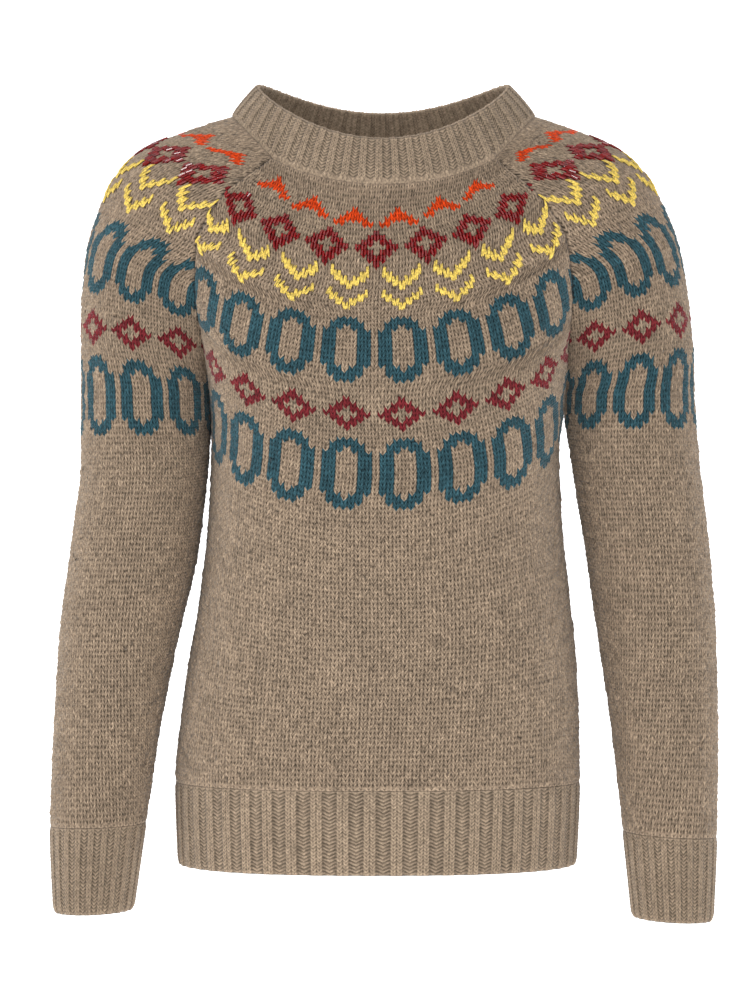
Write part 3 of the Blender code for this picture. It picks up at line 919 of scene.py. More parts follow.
def banded(surface, rounds, facing_out):
    """A function from places 0 to 1 around and down a band to its points and normals."""
    first, last = rounds

    def at(place, down):
        """Runs across from seam to seam, -1 to 1, and down from the first round to the last."""
        across = place * 2 - 1
        level = first + down * (last - first)
        normals = surface_normals(surface, across, level, BAND_STEPS)
        middle = normals[normals.shape[0] // 2, normals.shape[1] // 2]
        turned = 1.0 if float(np.dot(middle, facing_out)) > 0 else -1.0
        return surface(across, level), normals * turned

    return at


def evenly_round(ring, places):
    """A closed ring of points read again at these shares of its length."""
    lengths = np.concatenate(([0.0], np.cumsum(np.linalg.norm(np.diff(ring, axis=0), axis=1))))
    wanted = np.mod(places, 1.0) * lengths[-1]
    return np.stack([np.interp(wanted, lengths, ring[:, axis]) for axis in range(3)], axis=-1)


def neckline_ring():
    """The yoke's first round, once round from the middle of the front towards +X."""
    half = np.linspace(0, 1, RING_POINTS // 8)
    full = np.linspace(-1, 1, RING_POINTS // 4)
    top = np.zeros(1)
    return np.concatenate((
        panel_points(-1, half, top),
        sleeve_points("right", full, top),
        panel_points(1, -full, top),
        sleeve_points("left", -full, top),
        panel_points(-1, half - 1, top),
    ))


def rim_ring():
    """The neckband's free edge, once round from the middle of the front towards +X."""
    angle = np.linspace(0, 2 * np.pi, RING_POINTS)
    side = (RIM_FRONT_Z + RIM_BACK_Z) / 2
    level = (RIM_SIDE_Z + side) / 2
    z = level + (RIM_FRONT_Z - RIM_BACK_Z) / 2 * np.cos(angle) + (side - level) * np.cos(2 * angle)
    x = RIM_CENTRE_X + RIM_HALF_WIDTH * np.sin(angle)
    y = RIM_CENTRE_Y - RIM_HALF_DEPTH * np.cos(angle)
    return np.stack((x, y, z), axis=1)


def neckband_surface(place, down):
    """The neckband's outer furrows from its free edge, down 0, to the yoke's first round, 1.

    Each wale is a parabola from the rim to the base through a point swelled outwards.
    """
    ring_place = place[0]
    base = evenly_round(neckline_ring(), ring_place)
    rim = evenly_round(rim_ring(), ring_place)
    slope = rim - base
    base = base + unit(slope) * SEAM_GAP
    middle = (base + rim) / 2
    outward = middle - np.array((RIM_CENTRE_X, RIM_CENTRE_Y, 0.0))
    outward[:, 2] = np.hypot(outward[:, 0], outward[:, 1]) / 2
    outward = unit(outward)
    t = down[..., None]
    points = rim + (base - rim) * t + outward * (4 * NECKBAND_SWELL * t * (1 - t))
    drop = (base - rim) + outward * (4 * NECKBAND_SWELL * (1 - 2 * t))
    beside = [evenly_round(neckline_ring(), ring_place + s) for s in (-RING_STEP, RING_STEP)]
    above = [evenly_round(rim_ring(), ring_place + s) for s in (-RING_STEP, RING_STEP)]
    side = (beside[1] - beside[0]) * t + (above[1] - above[0]) * (1 - t)
    normals = unit(np.cross(side, drop))
    turned = np.sign(np.sum(normals * outward, axis=-1, keepdims=True))
    return points, normals * turned


# The neckband's rows, its thickness in a furrow, how far its ribs stray and rise, its ridge of
# picked-up loops and its base by the rows they lie over, and its rounded bind-off edge. Each
# painted shade is a level, and how much of it comes and goes with the loops: shade is painted dark
# between the loops and in the hollow at the base, and the inside's rows are painted lighter
# against the shade inside the neck.
NECKBAND_ROWS = 15
NECKBAND_WALL = 2.3
NECKBAND_BARS = (-0.20, 0.40)
NECKBAND_STRAY_DOWN = 0.05
NECKBAND_STRAY_OUT = 0.10
INSIDE_LIFT = 0.8
INSIDE_PAINTED_SHADE = 0.75
INSIDE_ROW_PAINTED_SHADES = (0.12, -0.38)
RIDGE_ROW = 0.9
RIDGE_ROWS = 0.7
RIDGE_HEIGHT = 0.8
LOOP_HEIGHT = 0.55
RIDGE_PAINTED_SHADE = (0.35, -0.45)
BASE_ROWS = 0.6
BASE_PAINTED_SHADE = (0.35, 0.35)
RIM_ROUNDING = (0.2, 0.5, 0.8)
RIM_LEVELS = (-0.3, -0.5, -0.7)
RIM_BULGE = 2.0
RIM_WAVE = 0.5
RIM_PAINTED_SHADE = (0.15, -0.25)


def knit_neckband():
    """Knits the neckband as one closed ring: ribbed outside, over its edge, and ribbed inside.

    The cross-section runs up the outside, over a rounded bind-off edge and down the inside,
    where a knit wale outside is a furrow and a furrow outside is a knit wale.
    """
    sizes = bpy.context.scene.jumper_cloth
    random = np.random.default_rng(SEEDS["neckband"])
    places, (lift, shear, tuck, bars) = rib_columns(NECKBAND_RIBS, True)
    levels = NECKBAND_ROWS * ROWS_PER_ROUND + 1
    place, level = np.meshgrid(places, np.arange(levels) / ROWS_PER_ROUND)
    stage = (np.arange(levels) % ROWS_PER_ROUND)[:, None]
    ends = np.clip(np.minimum(level, NECKBAND_ROWS - level), 0, 1)
    wander = random.normal(0, NECKBAND_STRAY_DOWN, place.shape) * ends
    rise = sizes.rib_rise / MM
    bar, crest = np.array(NECKBAND_BARS)[stage], np.array(CREST_HEIGHTS)[stage]
    counts = places * NECKBAND_RIBS * STITCHES_PER_RIB
    loops = np.cos(2 * np.pi * counts)
    ridge_painted_shade, base_painted_shade, rim_painted_shade = (
        np.clip(level_painted_shade + share * loops, 0, 1)
        for level_painted_shade, share in (RIDGE_PAINTED_SHADE, BASE_PAINTED_SHADE, RIM_PAINTED_SHADE))

    out_level = level + shear * sizes.tilt * ends + wander
    points, normals = neckband_surface(place, out_level / NECKBAND_ROWS)
    height = rise * lift + (bar * bars + crest * (1 - bars)) * ends
    height = height + random.normal(0, NECKBAND_STRAY_OUT, place.shape) * ends
    ridge = np.exp(-(((NECKBAND_ROWS - RIDGE_ROW - level) / RIDGE_ROWS) ** 2))
    base = np.exp(-(((NECKBAND_ROWS - level) / BASE_ROWS) ** 2))
    height = height * (1 - ridge) + ridge * (RIDGE_HEIGHT + LOOP_HEIGHT * loops)
    outer = points + normals * (height * (1 - base))[..., None]
    out_painted_shade = np.clip(tuck + np.array(RIB_ROW_PAINTED_SHADES)[stage], 0, 1)
    out_painted_shade = (out_painted_shade * (1 - ridge) + ridge * ridge_painted_shade) * (1 - base) + base * base_painted_shade

    half_rib = (KNIT_COLUMNS + PURL_COLUMNS) // 2
    rolled = [np.roll(values[:-1], half_rib) for values in (lift, shear, bars, tuck)]
    in_lift, in_shear, in_bars, in_painted_shade = (np.append(values, values[0]) for values in rolled)
    in_level = level + in_shear * sizes.tilt * ends + wander
    in_points, in_normals = neckband_surface(place, in_level / NECKBAND_ROWS)
    depth = NECKBAND_WALL + rise * INSIDE_LIFT * in_lift
    depth = depth + (bar * in_bars + crest * (1 - in_bars)) * ends
    inner = in_points - in_normals * depth[..., None]
    in_painted_shade = np.clip(INSIDE_PAINTED_SHADE * in_painted_shade + np.array(INSIDE_ROW_PAINTED_SHADES)[stage], 0, 1)

    share = np.array(RIM_ROUNDING)[:, None, None]
    up = -unit(points[1] - points[0])
    edge = outer[0] + (inner[0] - outer[0]) * share
    edge = edge + up * (np.sin(np.pi * share) * RIM_BULGE + RIM_WAVE * loops[:, None])
    edge_painted_shade = np.broadcast_to(rim_painted_shade, edge.shape[:2])
    edge_level = np.broadcast_to(np.array(RIM_LEVELS)[:, None], edge.shape[:2])
    grid = np.concatenate((outer[::-1], edge, inner))
    painted_shades = np.concatenate((out_painted_shade[::-1], edge_painted_shade, in_painted_shade))
    rows_down = np.concatenate((out_level[::-1], edge_level, -1 - in_level))

    index = np.arange(rows_down.size).reshape(rows_down.shape)
    index[:, -1] = index[:, 0]
    index = np.concatenate((index, index[:1]))
    leaning = np.ones((index.shape[0] - 1, index.shape[1] - 1), dtype=bool)
    leaning[:levels] = (shear[:-1] > shear[1:])[None, :]
    leaning[levels + 2:] = (in_shear[:-1] < in_shear[1:])[None, :]
    triangles = grid_triangles(index, leaning)
    corners = grid.reshape(-1, 3)[triangles[:2 * (len(places) - 1)]]
    faces = np.cross(corners[:, 1] - corners[:, 0], corners[:, 2] - corners[:, 0])
    if float(np.sum(faces * np.repeat(normals[-1, :-1], 2, axis=0))) < 0:
        triangles = triangles[:, ::-1]
    tone = 1 + random.normal(0, STRAY_TONE, leaning.shape)
    base_colour = np.array(bpy.context.scene.jumper_yarns.painted_lighter_rib_taupe)
    uvs = np.stack((np.broadcast_to(counts, rows_down.shape), rows_down), axis=-1)
    return add_mesh("knitted_neckband", grid.reshape(-1, 3), triangles,
                    (wool_rib_material(),), uvs=uvs.reshape(-1, 2),
                    colours=np.repeat(tone.ravel(), 2)[:, None] * base_colour,
                    tuck=painted_shades.ravel(), kinds=np.zeros(len(triangles)))


def strands(name, starts, ends, outward, radius, profile, sides, turn, material):
    """Many short strands as one mesh: a ring of sides at each step of the profile.

    starts, ends and outward are lists of arrays. profile has a row for each ring: how far along
    the strand it is, how wide it is and how far it stands out, both as shares of the radius.
    Ends are closed with a fan to a middle point.
    """
    starts, ends, outward = (np.concatenate(parts) for parts in (starts, ends, outward))
    profile = np.array(profile)
    along = profile[:, 0][None, :, None]
    line = starts[:, None] + (ends - starts)[:, None] * along
    direction = unit(ends - starts)
    side = unit(np.cross(direction, outward))
    up = np.cross(side, direction)
    line = line + up[:, None] * (profile[:, 2] * radius)[None, :, None]
    angle = 2 * np.pi * (np.arange(sides) + turn) / sides
    ring = (np.cos(angle)[:, None] * side[:, None, None] + np.sin(angle)[:, None]
            * up[:, None, None])
    rings = line[:, :, None] + ring * (profile[:, 1] * radius)[None, :, None, None]
    count, steps = len(starts), len(profile)
    tips = np.stack((line[:, 0], line[:, -1]), axis=1)
    points = np.concatenate((rings.reshape(count, -1, 3), tips), axis=1)
    index = np.arange(steps * sides).reshape(steps, sides)
    index = np.concatenate((index, index[:, :1]), axis=1)
    tube = grid_triangles(index, True)
    first = np.stack((index[0, 1:], index[0, :-1], np.full(sides, steps * sides)), axis=1)
    last = np.stack((index[-1, :-1], index[-1, 1:], np.full(sides, steps * sides + 1)), axis=1)
    one = np.concatenate((tube, first, last))
    all_strands = (one[None] + (np.arange(count) * points.shape[1])[:, None, None]).reshape(-1, 3)
    corners = points[0][one[0]]
    outwards = corners.mean(axis=0) - line[0, :2].mean(axis=0)
    normal = np.cross(corners[1] - corners[0], corners[2] - corners[0])
    if float(np.dot(normal, outwards)) < 0:
        all_strands = all_strands[:, ::-1]
    return add_mesh(name, points.reshape(-1, 3), all_strands, (material,))


def add_node(tree, kind, inputs=None, **settings):
    """Adds a node with its settings; an input is a value or another node's output."""
    node = tree.nodes.new(kind)
    for name, value in settings.items():
        setattr(node, name, value)
    for key, value in (inputs or {}).items():
        if isinstance(value, bpy.types.NodeSocket):
            tree.links.new(value, node.inputs[key])
        else:
            node.inputs[key].default_value = value
    return node


def new_material(name):
    """An empty node material and its tree, or None for the tree if it is already there."""
    material = bpy.data.materials.get(name)
    if material is not None:
        return material, None
    material = bpy.data.materials.new(name)
    material.use_nodes = True
    material.node_tree.nodes.clear()
    return material, material.node_tree


# Sizes of the patterns in the materials, in millimetres. A fleck of heather is a tuft of fibres,
# drawn coarser than a real one so that it shows, and uneven dye clouds the wool every 26 mm.
# The embroidery yarn is painted lighter and darker at each turn of its ply, as painted gleam,
# and a bead's lining is streaked at each bead.
HEATHER_FLECK = 2.381
HEATHER_CLOUD = 26.316
PAINTED_GLEAM_SIZE = 1.5625
BEAD_STREAK = 3.3333
PAPER_CLOUD = 333.33

# Strands of fibre across and down one stitch of about 6 by 4 mm, coarser than real ones to show
FIBRES_PER_STITCH = (7.0, 2.6, 1.0)


def per_metre(size):
    """A noise's scale, which is how many of its patterns, in millimetres, go into a metre."""
    return 1 / (size * MM)


def wool(name, ply_scale, ply_depth, painted_shade_tone, bars):
    """Heathered woollen yarn, carded and loosely plied: matt, uneven in tone and fuzzy.

    The yarn attribute gives each stitch its colour. Fine noise gives the heather, a point attribute
    paints shade into the gaps between strands and paints the legs lighter, and a twist across each
    leg gives its plies.
    Real plies are under a millimetre apart, so they are drawn as coarse as a picture shows.
    """
    material, tree = new_material(name)
    if tree is None:
        return material
    yarn = add_node(tree, "ShaderNodeAttribute", attribute_name="yarn")
    tuck = add_node(tree, "ShaderNodeAttribute", attribute_name="tuck")
    place = add_node(tree, "ShaderNodeTexCoord")
    stitches = add_node(tree, "ShaderNodeUVMap", uv_map="stitches")
    stretched = add_node(tree, "ShaderNodeMapping", {
        "Vector": stitches.outputs["UV"], "Scale": FIBRES_PER_STITCH})
    heather, cloud, fibre = (
        add_node(tree, "ShaderNodeTexNoise", {
            "Vector": where, "Scale": scale, "Detail": detail, "Roughness": roughness})
        for where, scale, detail, roughness in (
            (place.outputs["Object"], per_metre(HEATHER_FLECK), 3.0, 0.65),
            (place.outputs["Object"], per_metre(HEATHER_CLOUD), 2.0, 0.5),
            (stretched.outputs["Vector"], 1.0, 3.0, 0.7)))
    tone = 1.0
    # The last tone is painted shade: lighter on the legs, darker down to the deepest tone in the
    # gaps
    for source, low, high, at_low, at_high in (
            (heather, 0.32, 0.68, 0.64, 1.36), (cloud, 0.3, 0.7, 0.93, 1.07),
            (fibre, 0.3, 0.7, 0.82, 1.18), (tuck, 0.0, 0.9, 1.14, painted_shade_tone)):
        share = add_node(tree, "ShaderNodeMapRange", {
            "Value": source.outputs["Fac"], "From Min": low, "From Max": high,
            "To Min": at_low, "To Max": at_high})
        tone = add_node(tree, "ShaderNodeMath", {0: tone, 1: share.outputs["Result"]},
                        operation="MULTIPLY").outputs["Value"]
    shaded = add_node(tree, "ShaderNodeVectorMath", {
        0: yarn.outputs["Color"], "Scale": tone}, operation="SCALE")
    ply = add_node(tree, "ShaderNodeTexWave", {
        "Vector": stitches.outputs["UV"], "Scale": ply_scale, "Distortion": 1.5, "Detail": 1.0,
        "Detail Scale": 2.0}, wave_type="BANDS",
        bands_direction="Y" if bars else "DIAGONAL")
    height = add_node(tree, "ShaderNodeMath", {
        0: ply.outputs["Fac"], 1: ply_depth}, operation="MULTIPLY")
    for noise in (fibre, heather):
        height = add_node(tree, "ShaderNodeMath", {
            0: noise.outputs["Fac"], 1: height.outputs["Value"]}, operation="ADD")
    bump = add_node(tree, "ShaderNodeBump", {
        "Height": height.outputs["Value"], "Strength": 0.55, "Distance": 0.0005})
    shader = add_node(tree, "ShaderNodeBsdfPrincipled", {
        "Base Color": shaded.outputs["Vector"], "Roughness": 0.92, "Metallic": 0.0,
        "IOR": 1.45, "Specular IOR Level": 0.25, "Sheen Weight": 0.18,
        "Sheen Roughness": 0.45, "Normal": bump.outputs["Normal"]})
    add_node(tree, "ShaderNodeOutputMaterial", {"Surface": shader.outputs["BSDF"]})
    return material


def wool_knit_material():
    """Stocking stitch in heathered wool: the gaps between its Vs are deep, and painted dark in
    shade.
    """
    return wool("wool_stocking_stitch", 1.1, 0.8, 0.15, False)


def wool_rib_material():
    """The same wool in rib, a little flatter because it is stretched round an edge, with its shade
    painted less dark.
    """
    return wool("wool_rib_stitch", 1.1, 0.7, 0.26, False)


def wool_reverse_material():
    """The inside of the cloth: rows of purl bars, with the pattern's yarns carried behind."""
    return wool("wool_purl_side", 1.0, 1.6, 0.62, True)


def speckled(tree, colour, size, detail, tones):
    """Noise of this size in millimetres, and a colour that it makes darker and lighter.

    tones holds the noise's low and high values, and the colour's tone at each.
    """
    low, high, at_low, at_high = tones
    place = add_node(tree, "ShaderNodeTexCoord")
    noise = add_node(tree, "ShaderNodeTexNoise", {
        "Vector": place.outputs["Object"], "Scale": per_metre(size), "Detail": detail})
    tone = add_node(tree, "ShaderNodeMapRange", {
        "Value": noise.outputs["Fac"], "From Min": low, "From Max": high, "To Min": at_low,
        "To Max": at_high})
    toned = add_node(tree, "ShaderNodeVectorMath", {
        0: tuple(colour), "Scale": tone.outputs["Result"]}, operation="SCALE")
    return noise.outputs["Fac"], toned.outputs["Vector"]


def embroidery_material():
    """Mercerised embroidery yarn: smooth, tightly plied cotton with a silky shine and a painted
    gleam.
    """
    material, tree = new_material("mercerised_embroidery_yarn")
    if tree is None:
        return material
    # Painted gleam: the yarn's colour is painted from half as bright to a quarter brighter along
    # its plies
    painted_gleam, colour = speckled(tree, bpy.context.scene.jumper_yarns.yellow, PAINTED_GLEAM_SIZE, 2.0,
                             (0.32, 0.68, 0.52, 1.24))
    bump = add_node(tree, "ShaderNodeBump", {
        "Height": painted_gleam, "Strength": 0.4, "Distance": 0.0004})
    shader = add_node(tree, "ShaderNodeBsdfPrincipled", {
        "Base Color": colour, "Roughness": 0.38, "Metallic": 0.0, "IOR": 1.5,
        "Specular IOR Level": 0.6, "Normal": bump.outputs["Normal"]})
    add_node(tree, "ShaderNodeOutputMaterial", {"Surface": shader.outputs["BSDF"]})
    return material


def bead_material():
    """Red glass bugle beads, cut from drawn tube and lined: dark sides with sharp glints."""
    material, tree = new_material("lined_glass_bugle_beads")
    if tree is None:
        return material
    _, colour = speckled(tree, bpy.context.scene.jumper_yarns.bead, BEAD_STREAK, 1.0,
                         (0.3, 0.7, 0.55, 1.25))
    shader = add_node(tree, "ShaderNodeBsdfPrincipled", {
        "Base Color": colour, "Roughness": 0.1, "Metallic": 0.0, "IOR": 1.52,
        "Specular IOR Level": 0.6})
    add_node(tree, "ShaderNodeOutputMaterial", {"Surface": shader.outputs["BSDF"]})
    return material


def stage_material():
    """Matt translucent backdrop paper, evenly white, with some light coming through it."""
    material, tree = new_material("matt_backdrop_paper")
    if tree is None:
        return material
    _, colour = speckled(tree, linear("#fbfbfb"), PAPER_CLOUD, 2.0, (0.0, 1.0, 0.98, 1.0))
    shader = add_node(tree, "ShaderNodeBsdfPrincipled", {
        "Base Color": colour, "Roughness": 0.9, "Specular IOR Level": 0.1,
        "Emission Color": (1.0, 1.0, 1.0, 1.0), "Emission Strength": 0.85})
    add_node(tree, "ShaderNodeOutputMaterial", {"Surface": shader.outputs["BSDF"]})
    return material


def panel_cloth(facing):
    """The cloth of the front (-1) or the back (1), from the neckband to the hem rib."""
    folds = tuple((values[0] * -facing, *values[1:4], values[4] * -facing, values[5])
                  for values in PANEL_FOLDS)
    return Cloth(partial(panel_points, facing), folds, PANEL_GAUGE, (0, HEM_RIB_ROUND),
                 (0, facing, 0),
                 lambda across: np.clip(LEAN_MIDDLE + (1 - LEAN_MIDDLE) * across, 0, 1), 1.0)


def sleeve_cloth(side):
    """The cloth of a sleeve, from the neckband to the cuff."""
    return Cloth(partial(sleeve_points, side), SLEEVE_FOLDS, SLEEVE_GAUGE, (0, CUFF_RIB_ROUND),
                 (SIDES[side], 0, 0), lambda across: float(side == "right"), 0.0)


def yoke_cloths():
    """The cloth of every piece of the yoke, by node."""
    cloths = {node: panel_cloth(facing) for node, facing in PANELS.items()}
    cloths.update({"sleeve_" + side: sleeve_cloth(side) for side in SIDES})
    return cloths


def dress(piece, node):
    """A finished piece hangs on the root body and stands for its CAD node, which is hidden."""
    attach(piece, "root")
    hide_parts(node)


class JUMPER_OT_panels(bpy.types.Operator):
    """Knit the front and the back"""

    bl_idname = "jumper.panels"
    bl_label = "Front and back"

    def execute(self, context):
        for seed, (node, facing) in enumerate(PANELS.items(), SEEDS["panels"]):
            dress(knit(node, panel_cloth(facing), seed), node)
        return {"FINISHED"}


class JUMPER_OT_sleeves(bpy.types.Operator):
    """Knit both sleeves, each closed by its underarm seam"""

    bl_idname = "jumper.sleeves"
    bl_label = "Sleeves"

    def execute(self, context):
        for seed, side in enumerate(SIDES, SEEDS["sleeves"]):
            node = "sleeve_" + side
            piece = knit(node, sleeve_cloth(side), seed, joined_from=UNDERARM_ROUND)
            dress(piece, node)
        return {"FINISHED"}


class JUMPER_OT_hem(bpy.types.Operator):
    """Knit the hem rib of the front and of the back"""

    bl_idname = "jumper.hem"
    bl_label = "Hem ribs"

    def execute(self, context):
        for seed, (panel, facing) in enumerate(PANELS.items(), SEEDS["hem"]):
            surface = banded(partial(panel_points, facing),
                             (HEM_RIB_ROUND + RIB_GAP_ROUNDS, HEM_ROUND), (0, facing, 0))
            piece = rib("ribbed_hem_" + panel, surface, HEM_RIBS_PER_PANEL, False, seed,
                        HEM_CURL)
            dress(piece, "hem_rib_" + panel)
        return {"FINISHED"}


class JUMPER_OT_cuffs(bpy.types.Operator):
    """Knit both cuffs"""

    bl_idname = "jumper.cuffs"
    bl_label = "Cuffs"

    def execute(self, context):
        for seed, side in enumerate(SIDES, SEEDS["cuffs"]):
            surface = banded(partial(sleeve_points, side),
                             (CUFF_RIB_ROUND + RIB_GAP_ROUNDS, CUFF_ROUND), (SIDES[side], 0, 0))
            piece = rib("ribbed_cuff_" + side, surface, CUFF_RIBS, True, seed, CUFF_CURL)
            dress(piece, "cuff_" + side)
        return {"FINISHED"}


class JUMPER_OT_neckband(bpy.types.Operator):
    """Knit the neckband"""

    bl_idname = "jumper.neckband"
    bl_label = "Neckband"

    def execute(self, context):
        dress(knit_neckband(), "neckband")
        return {"FINISHED"}


# An embroidered leg and a bugle bead, ring by ring: along, width and stand, as shares
LEG_RINGS = ((0.0, 0.35, -0.5), (0.18, 0.85, 0.4), (0.5, 1.0, 0.8), (0.82, 0.85, 0.4),
             (1.0, 0.35, -0.5))
BEAD_RINGS = ((0.0, 0.7, 0.0), (0.06, 1.0, 0.0), (0.94, 1.0, 0.0), (1.0, 0.7, 0.0))
STRAND_SIDES = 6

# A leg's strands by their foot and top, in stitches, and its sizes in millimetres, but for its
# height and its straying, which are in rounds. LEG_ROOM is what a leg needs beside a seam.
LEG_STRANDS = ((0.02, 0.24), (0.16, 0.36), (0.31, 0.49))
LEG_RADIUS = 0.62
LEG_STAND = 0.9
LEG_ROUNDS = 1.9
LEG_STRAY = 0.05
LEG_ROOM = 1.5

# Two beads lie on a stitch, and a few are missing. Their sizes follow in the same way, with how
# far each is rolled out of line, as the spread of its outward direction.
BEAD_PLACES = (-0.25, 0.25)
BEADS_KEPT = 0.97
BEAD_RADIUS = 1.02
BEAD_STAND = 0.95
BEAD_ROLL = 0.16
BEAD_RISE = 0.05
BEAD_ROUNDS = 0.98
BEAD_STRAY = 0.05
BEAD_ROOM = 2.0


class JUMPER_OT_embroidery(bpy.types.Operator):
    """Embroider the two rows of chevrons round the yoke"""

    bl_idname = "jumper.embroidery"
    bl_label = "Chevrons"

    def execute(self, context):
        for node, cloth in yoke_cloths().items():
            random = np.random.default_rng(SEEDS["chevrons"])
            stitches = laid_stitches(node)
            starts, ends, outward = [], [], []
            for values in CHEVRONS:
                chevron = dict(zip(CHEVRON_COLUMNS, values))
                moved = stitches - CHART_SHIFTS[node] - chevron["shift"]
                offset = np.mod(moved + REPEAT // 2, REPEAT) - REPEAT // 2
                chosen = np.abs(offset) <= CHEVRON_REACH
                count, offset = stitches[chosen], offset[chosen]
                drop = chevron["panel_drop" if cloth.fanned else "sleeve_drop"]
                low = chevron["first_round"] + CHEVRON_TIP - np.abs(offset) * drop
                for leg in (-1, 1):
                    drawn = (np.abs(offset) < CHEVRON_REACH) | (np.sign(offset) == -leg)
                    drawn &= cloth.to_seam(count + leg * 0.5, low) > LEG_ROOM
                    for foot, top in LEG_STRANDS:
                        wander = random.normal(0, LEG_STRAY, (2, drawn.sum()))
                        start, normal = cloth.at(count[drawn] + leg * foot + wander[0],
                                                 low[drawn] + wander[1])
                        end, _ = cloth.at(count[drawn] + leg * top + wander[1],
                                          low[drawn] - LEG_ROUNDS + wander[0])
                        starts.append(start + normal * LEG_STAND)
                        ends.append(end + normal * LEG_STAND)
                        outward.append(normal)
            piece = strands("chevrons_" + node, starts, ends, outward, LEG_RADIUS, LEG_RINGS,
                            STRAND_SIDES, 0.5, embroidery_material())
            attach(piece, "root")
        return {"FINISHED"}


class JUMPER_OT_beads(bpy.types.Operator):
    """Sew the bugle beads on the upper diamonds"""

    bl_idname = "jumper.beads"
    bl_label = "Beads"

    def execute(self, context):
        band = dict(zip(BAND_COLUMNS, BANDS[BEADED_BAND]))
        for seed, (node, cloth) in enumerate(yoke_cloths().items(), SEEDS["beads"]):
            random = np.random.default_rng(seed)
            stitches = laid_stitches(node)
            column = chart_columns(node, stitches, band["shift"])
            starts, ends, outward = [], [], []
            for row, marks in enumerate(CHARTS[band["chart"]]):
                count = stitches[np.array([marks[c] == "X" for c in column])]
                level = np.full(len(count), band["first_round"] + row, dtype=float)
                for leg in BEAD_PLACES:
                    jitter = random.normal(0, BEAD_STRAY, len(count))
                    drawn = cloth.to_seam(count + leg, level + 0.5) > BEAD_ROOM
                    drawn &= random.random(len(count)) < BEADS_KEPT
                    top = level[drawn] - BEAD_RISE
                    start, normal = cloth.at(count[drawn] + leg + jitter[drawn], top)
                    end, _ = cloth.at(count[drawn] + leg - jitter[drawn], top + BEAD_ROUNDS)
                    starts.append(start + normal * BEAD_STAND)
                    ends.append(end + normal * BEAD_STAND)
                    outward.append(normal + random.normal(0, BEAD_ROLL, normal.shape))
            piece = strands("beads_" + node, starts, ends, outward, BEAD_RADIUS, BEAD_RINGS,
                            STRAND_SIDES, 0.0, bead_material())
            piece.data.shade_flat()
            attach(piece, "root")
        return {"FINISHED"}


# The backdrop's cross-section from the front of the floor up to its top, in metres
BACKDROP_FRONT = -7.0
BACKDROP_BEND = 1.5
BACKDROP_BACK = 7.5
BACKDROP_TOP = 5.0
BACKDROP_HALF_WIDTH = 8.0
SENSOR = 36.0
FAR_END = 50.0


def backdrop(floor):
    """A floor that curves up into a wall: two straight runs joined by a quarter circle."""
    angle = np.linspace(0, np.pi / 2, 24)
    bend_y = BACKDROP_BACK - BACKDROP_BEND + BACKDROP_BEND * np.sin(angle)
    bend_z = floor + BACKDROP_BEND * (1 - np.cos(angle))
    y = np.concatenate(([BACKDROP_FRONT], bend_y, [BACKDROP_BACK]))
    z = np.concatenate(([floor], bend_z, [BACKDROP_TOP]))
    x = np.linspace(-BACKDROP_HALF_WIDTH, BACKDROP_HALF_WIDTH, 3)
    points = np.stack(np.broadcast_arrays(x[None, :], y[:, None], z[:, None]), axis=-1)
    index = np.arange(points.size // 3).reshape(points.shape[:2])
    triangles = grid_triangles(index, True)
    return add_mesh("backdrop", points.reshape(-1, 3) / MM, triangles, (stage_material(),))


# Each light's name, place in metres, width, the property of its strength, and its share of it
LIGHTS = (
    ("front_softbox", (0.0, -3.1, 1.6), 2.4, "key", 1.0),
    ("left_softbox", (-2.6, -1.7, 0.5), 2.0, "left", 1.0),
    ("right_softbox", (2.6, -1.7, 0.5), 2.0, "right", 1.0),
    ("left_spark", (-1.15, -0.37, 1.87), 0.5, "spark", 1.0),
    ("right_spark", (1.15, -0.2, 1.9), 0.4, "spark", 0.5),
)


def aim(thing, target):
    """Turns a light or camera at a place to look at a point."""
    direction = Vector(target) - thing.location
    thing.rotation_euler = direction.to_track_quat("-Z", "Y").to_euler()


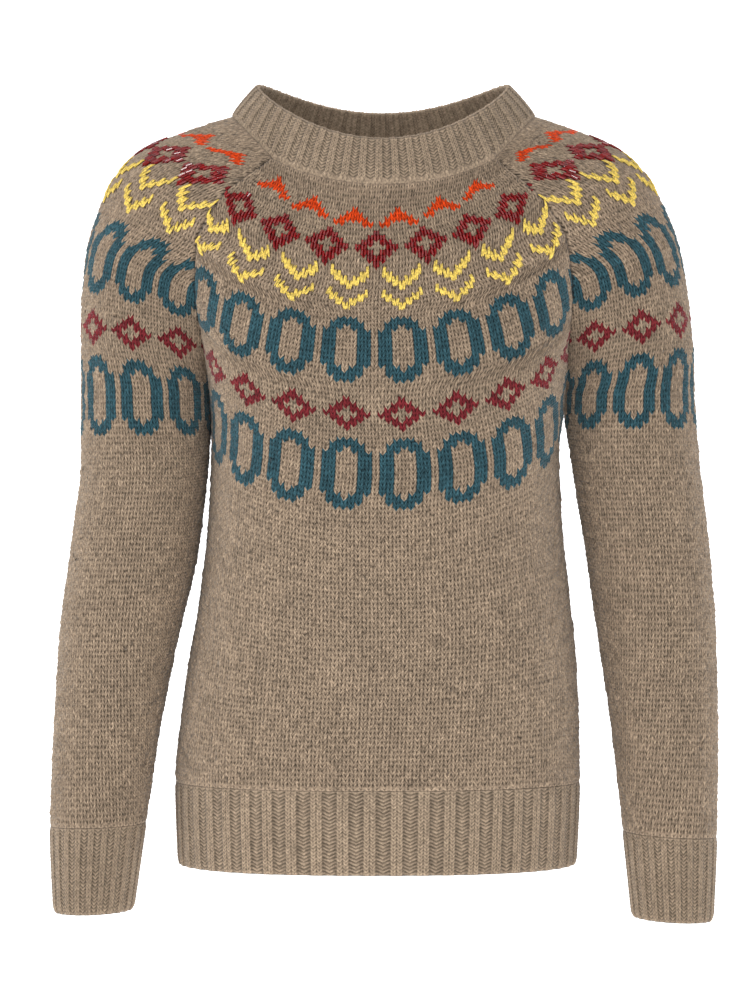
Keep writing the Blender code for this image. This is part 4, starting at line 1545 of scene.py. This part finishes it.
class JUMPER_OT_stage(bpy.types.Operator):
    """Set up the camera, the pale floor and the soft light"""

    bl_idname = "jumper.stage"
    bl_label = "Camera and studio"

    def execute(self, context):
        stage = context.scene.jumper_stage
        backdrop(stage.floor)
        target = (stage.middle_x, 0.0, stage.middle_z)
        camera = bpy.data.cameras.new("camera")
        camera.sensor_fit = "VERTICAL"
        camera.sensor_height = SENSOR
        camera.lens = SENSOR * stage.distance / stage.picture_height
        camera.clip_end = FAR_END
        holder = bpy.data.objects.new("camera", camera)
        holder.location = (stage.middle_x, -stage.distance, stage.middle_z)
        holder.rotation_euler = (np.pi / 2, 0.0, 0.0)
        context.scene.collection.objects.link(holder)
        context.scene.camera = holder
        for name, place, size, strength, share in LIGHTS:
            light = bpy.data.lights.new(name, "AREA")
            light.shape = "SQUARE"
            light.size = size
            light.energy = getattr(stage, strength) * share
            lamp = bpy.data.objects.new(name, light)
            lamp.location = place
            aim(lamp, target)
            context.scene.collection.objects.link(lamp)
        world = bpy.data.worlds.new("studio")
        world.use_nodes = True
        background = world.node_tree.nodes["Background"].inputs
        background["Color"].default_value = (1, 1, 1, 1)
        background["Strength"].default_value = stage.surround
        context.scene.world = world
        context.scene.view_settings.view_transform = "Standard"
        return {"FINISHED"}


class JUMPER_PT_panel(bpy.types.Panel):
    """Everything that builds the jumper"""

    bl_idname = "JUMPER_PT_panel"
    bl_label = "Jumper"
    bl_space_type = "VIEW_3D"
    bl_region_type = "UI"
    bl_category = "Jumper"

    def draw(self, context):
        for group in (context.scene.jumper_cloth, context.scene.jumper_yarns,
                      context.scene.jumper_stage):
            box = self.layout.box()
            for name in group.bl_rna.properties.keys():
                if name not in ("rna_type", "name"):
                    box.prop(group, name)
        for operator in OPERATORS:
            self.layout.operator(operator.bl_idname)


OPERATORS = (
    JUMPER_OT_panels, JUMPER_OT_sleeves, JUMPER_OT_hem, JUMPER_OT_cuffs, JUMPER_OT_neckband,
    JUMPER_OT_embroidery, JUMPER_OT_beads, JUMPER_OT_stage,
)
GROUPS = {"jumper_cloth": JumperCloth, "jumper_yarns": JumperYarns, "jumper_stage": JumperStage}


def register():
    """Registers every class and hangs the property groups on the scene."""
    for kind in (*GROUPS.values(), *OPERATORS, JUMPER_PT_panel):
        bpy.utils.register_class(kind)
    for name, kind in GROUPS.items():
        setattr(bpy.types.Scene, name, bpy.props.PointerProperty(type=kind))


def unregister():
    """Takes the property groups and classes away again."""
    for name in GROUPS:
        delattr(bpy.types.Scene, name)
    for kind in (JUMPER_PT_panel, *reversed(OPERATORS), *reversed(list(GROUPS.values()))):
        bpy.utils.unregister_class(kind)


def main():
    """Builds every piece in order."""
    register()
    bpy.ops.jumper.panels()
    bpy.ops.jumper.sleeves()
    bpy.ops.jumper.hem()
    bpy.ops.jumper.cuffs()
    bpy.ops.jumper.neckband()
    bpy.ops.jumper.embroidery()
    bpy.ops.jumper.beads()
    bpy.ops.jumper.stage()


if __name__ == "__main__":
    main()
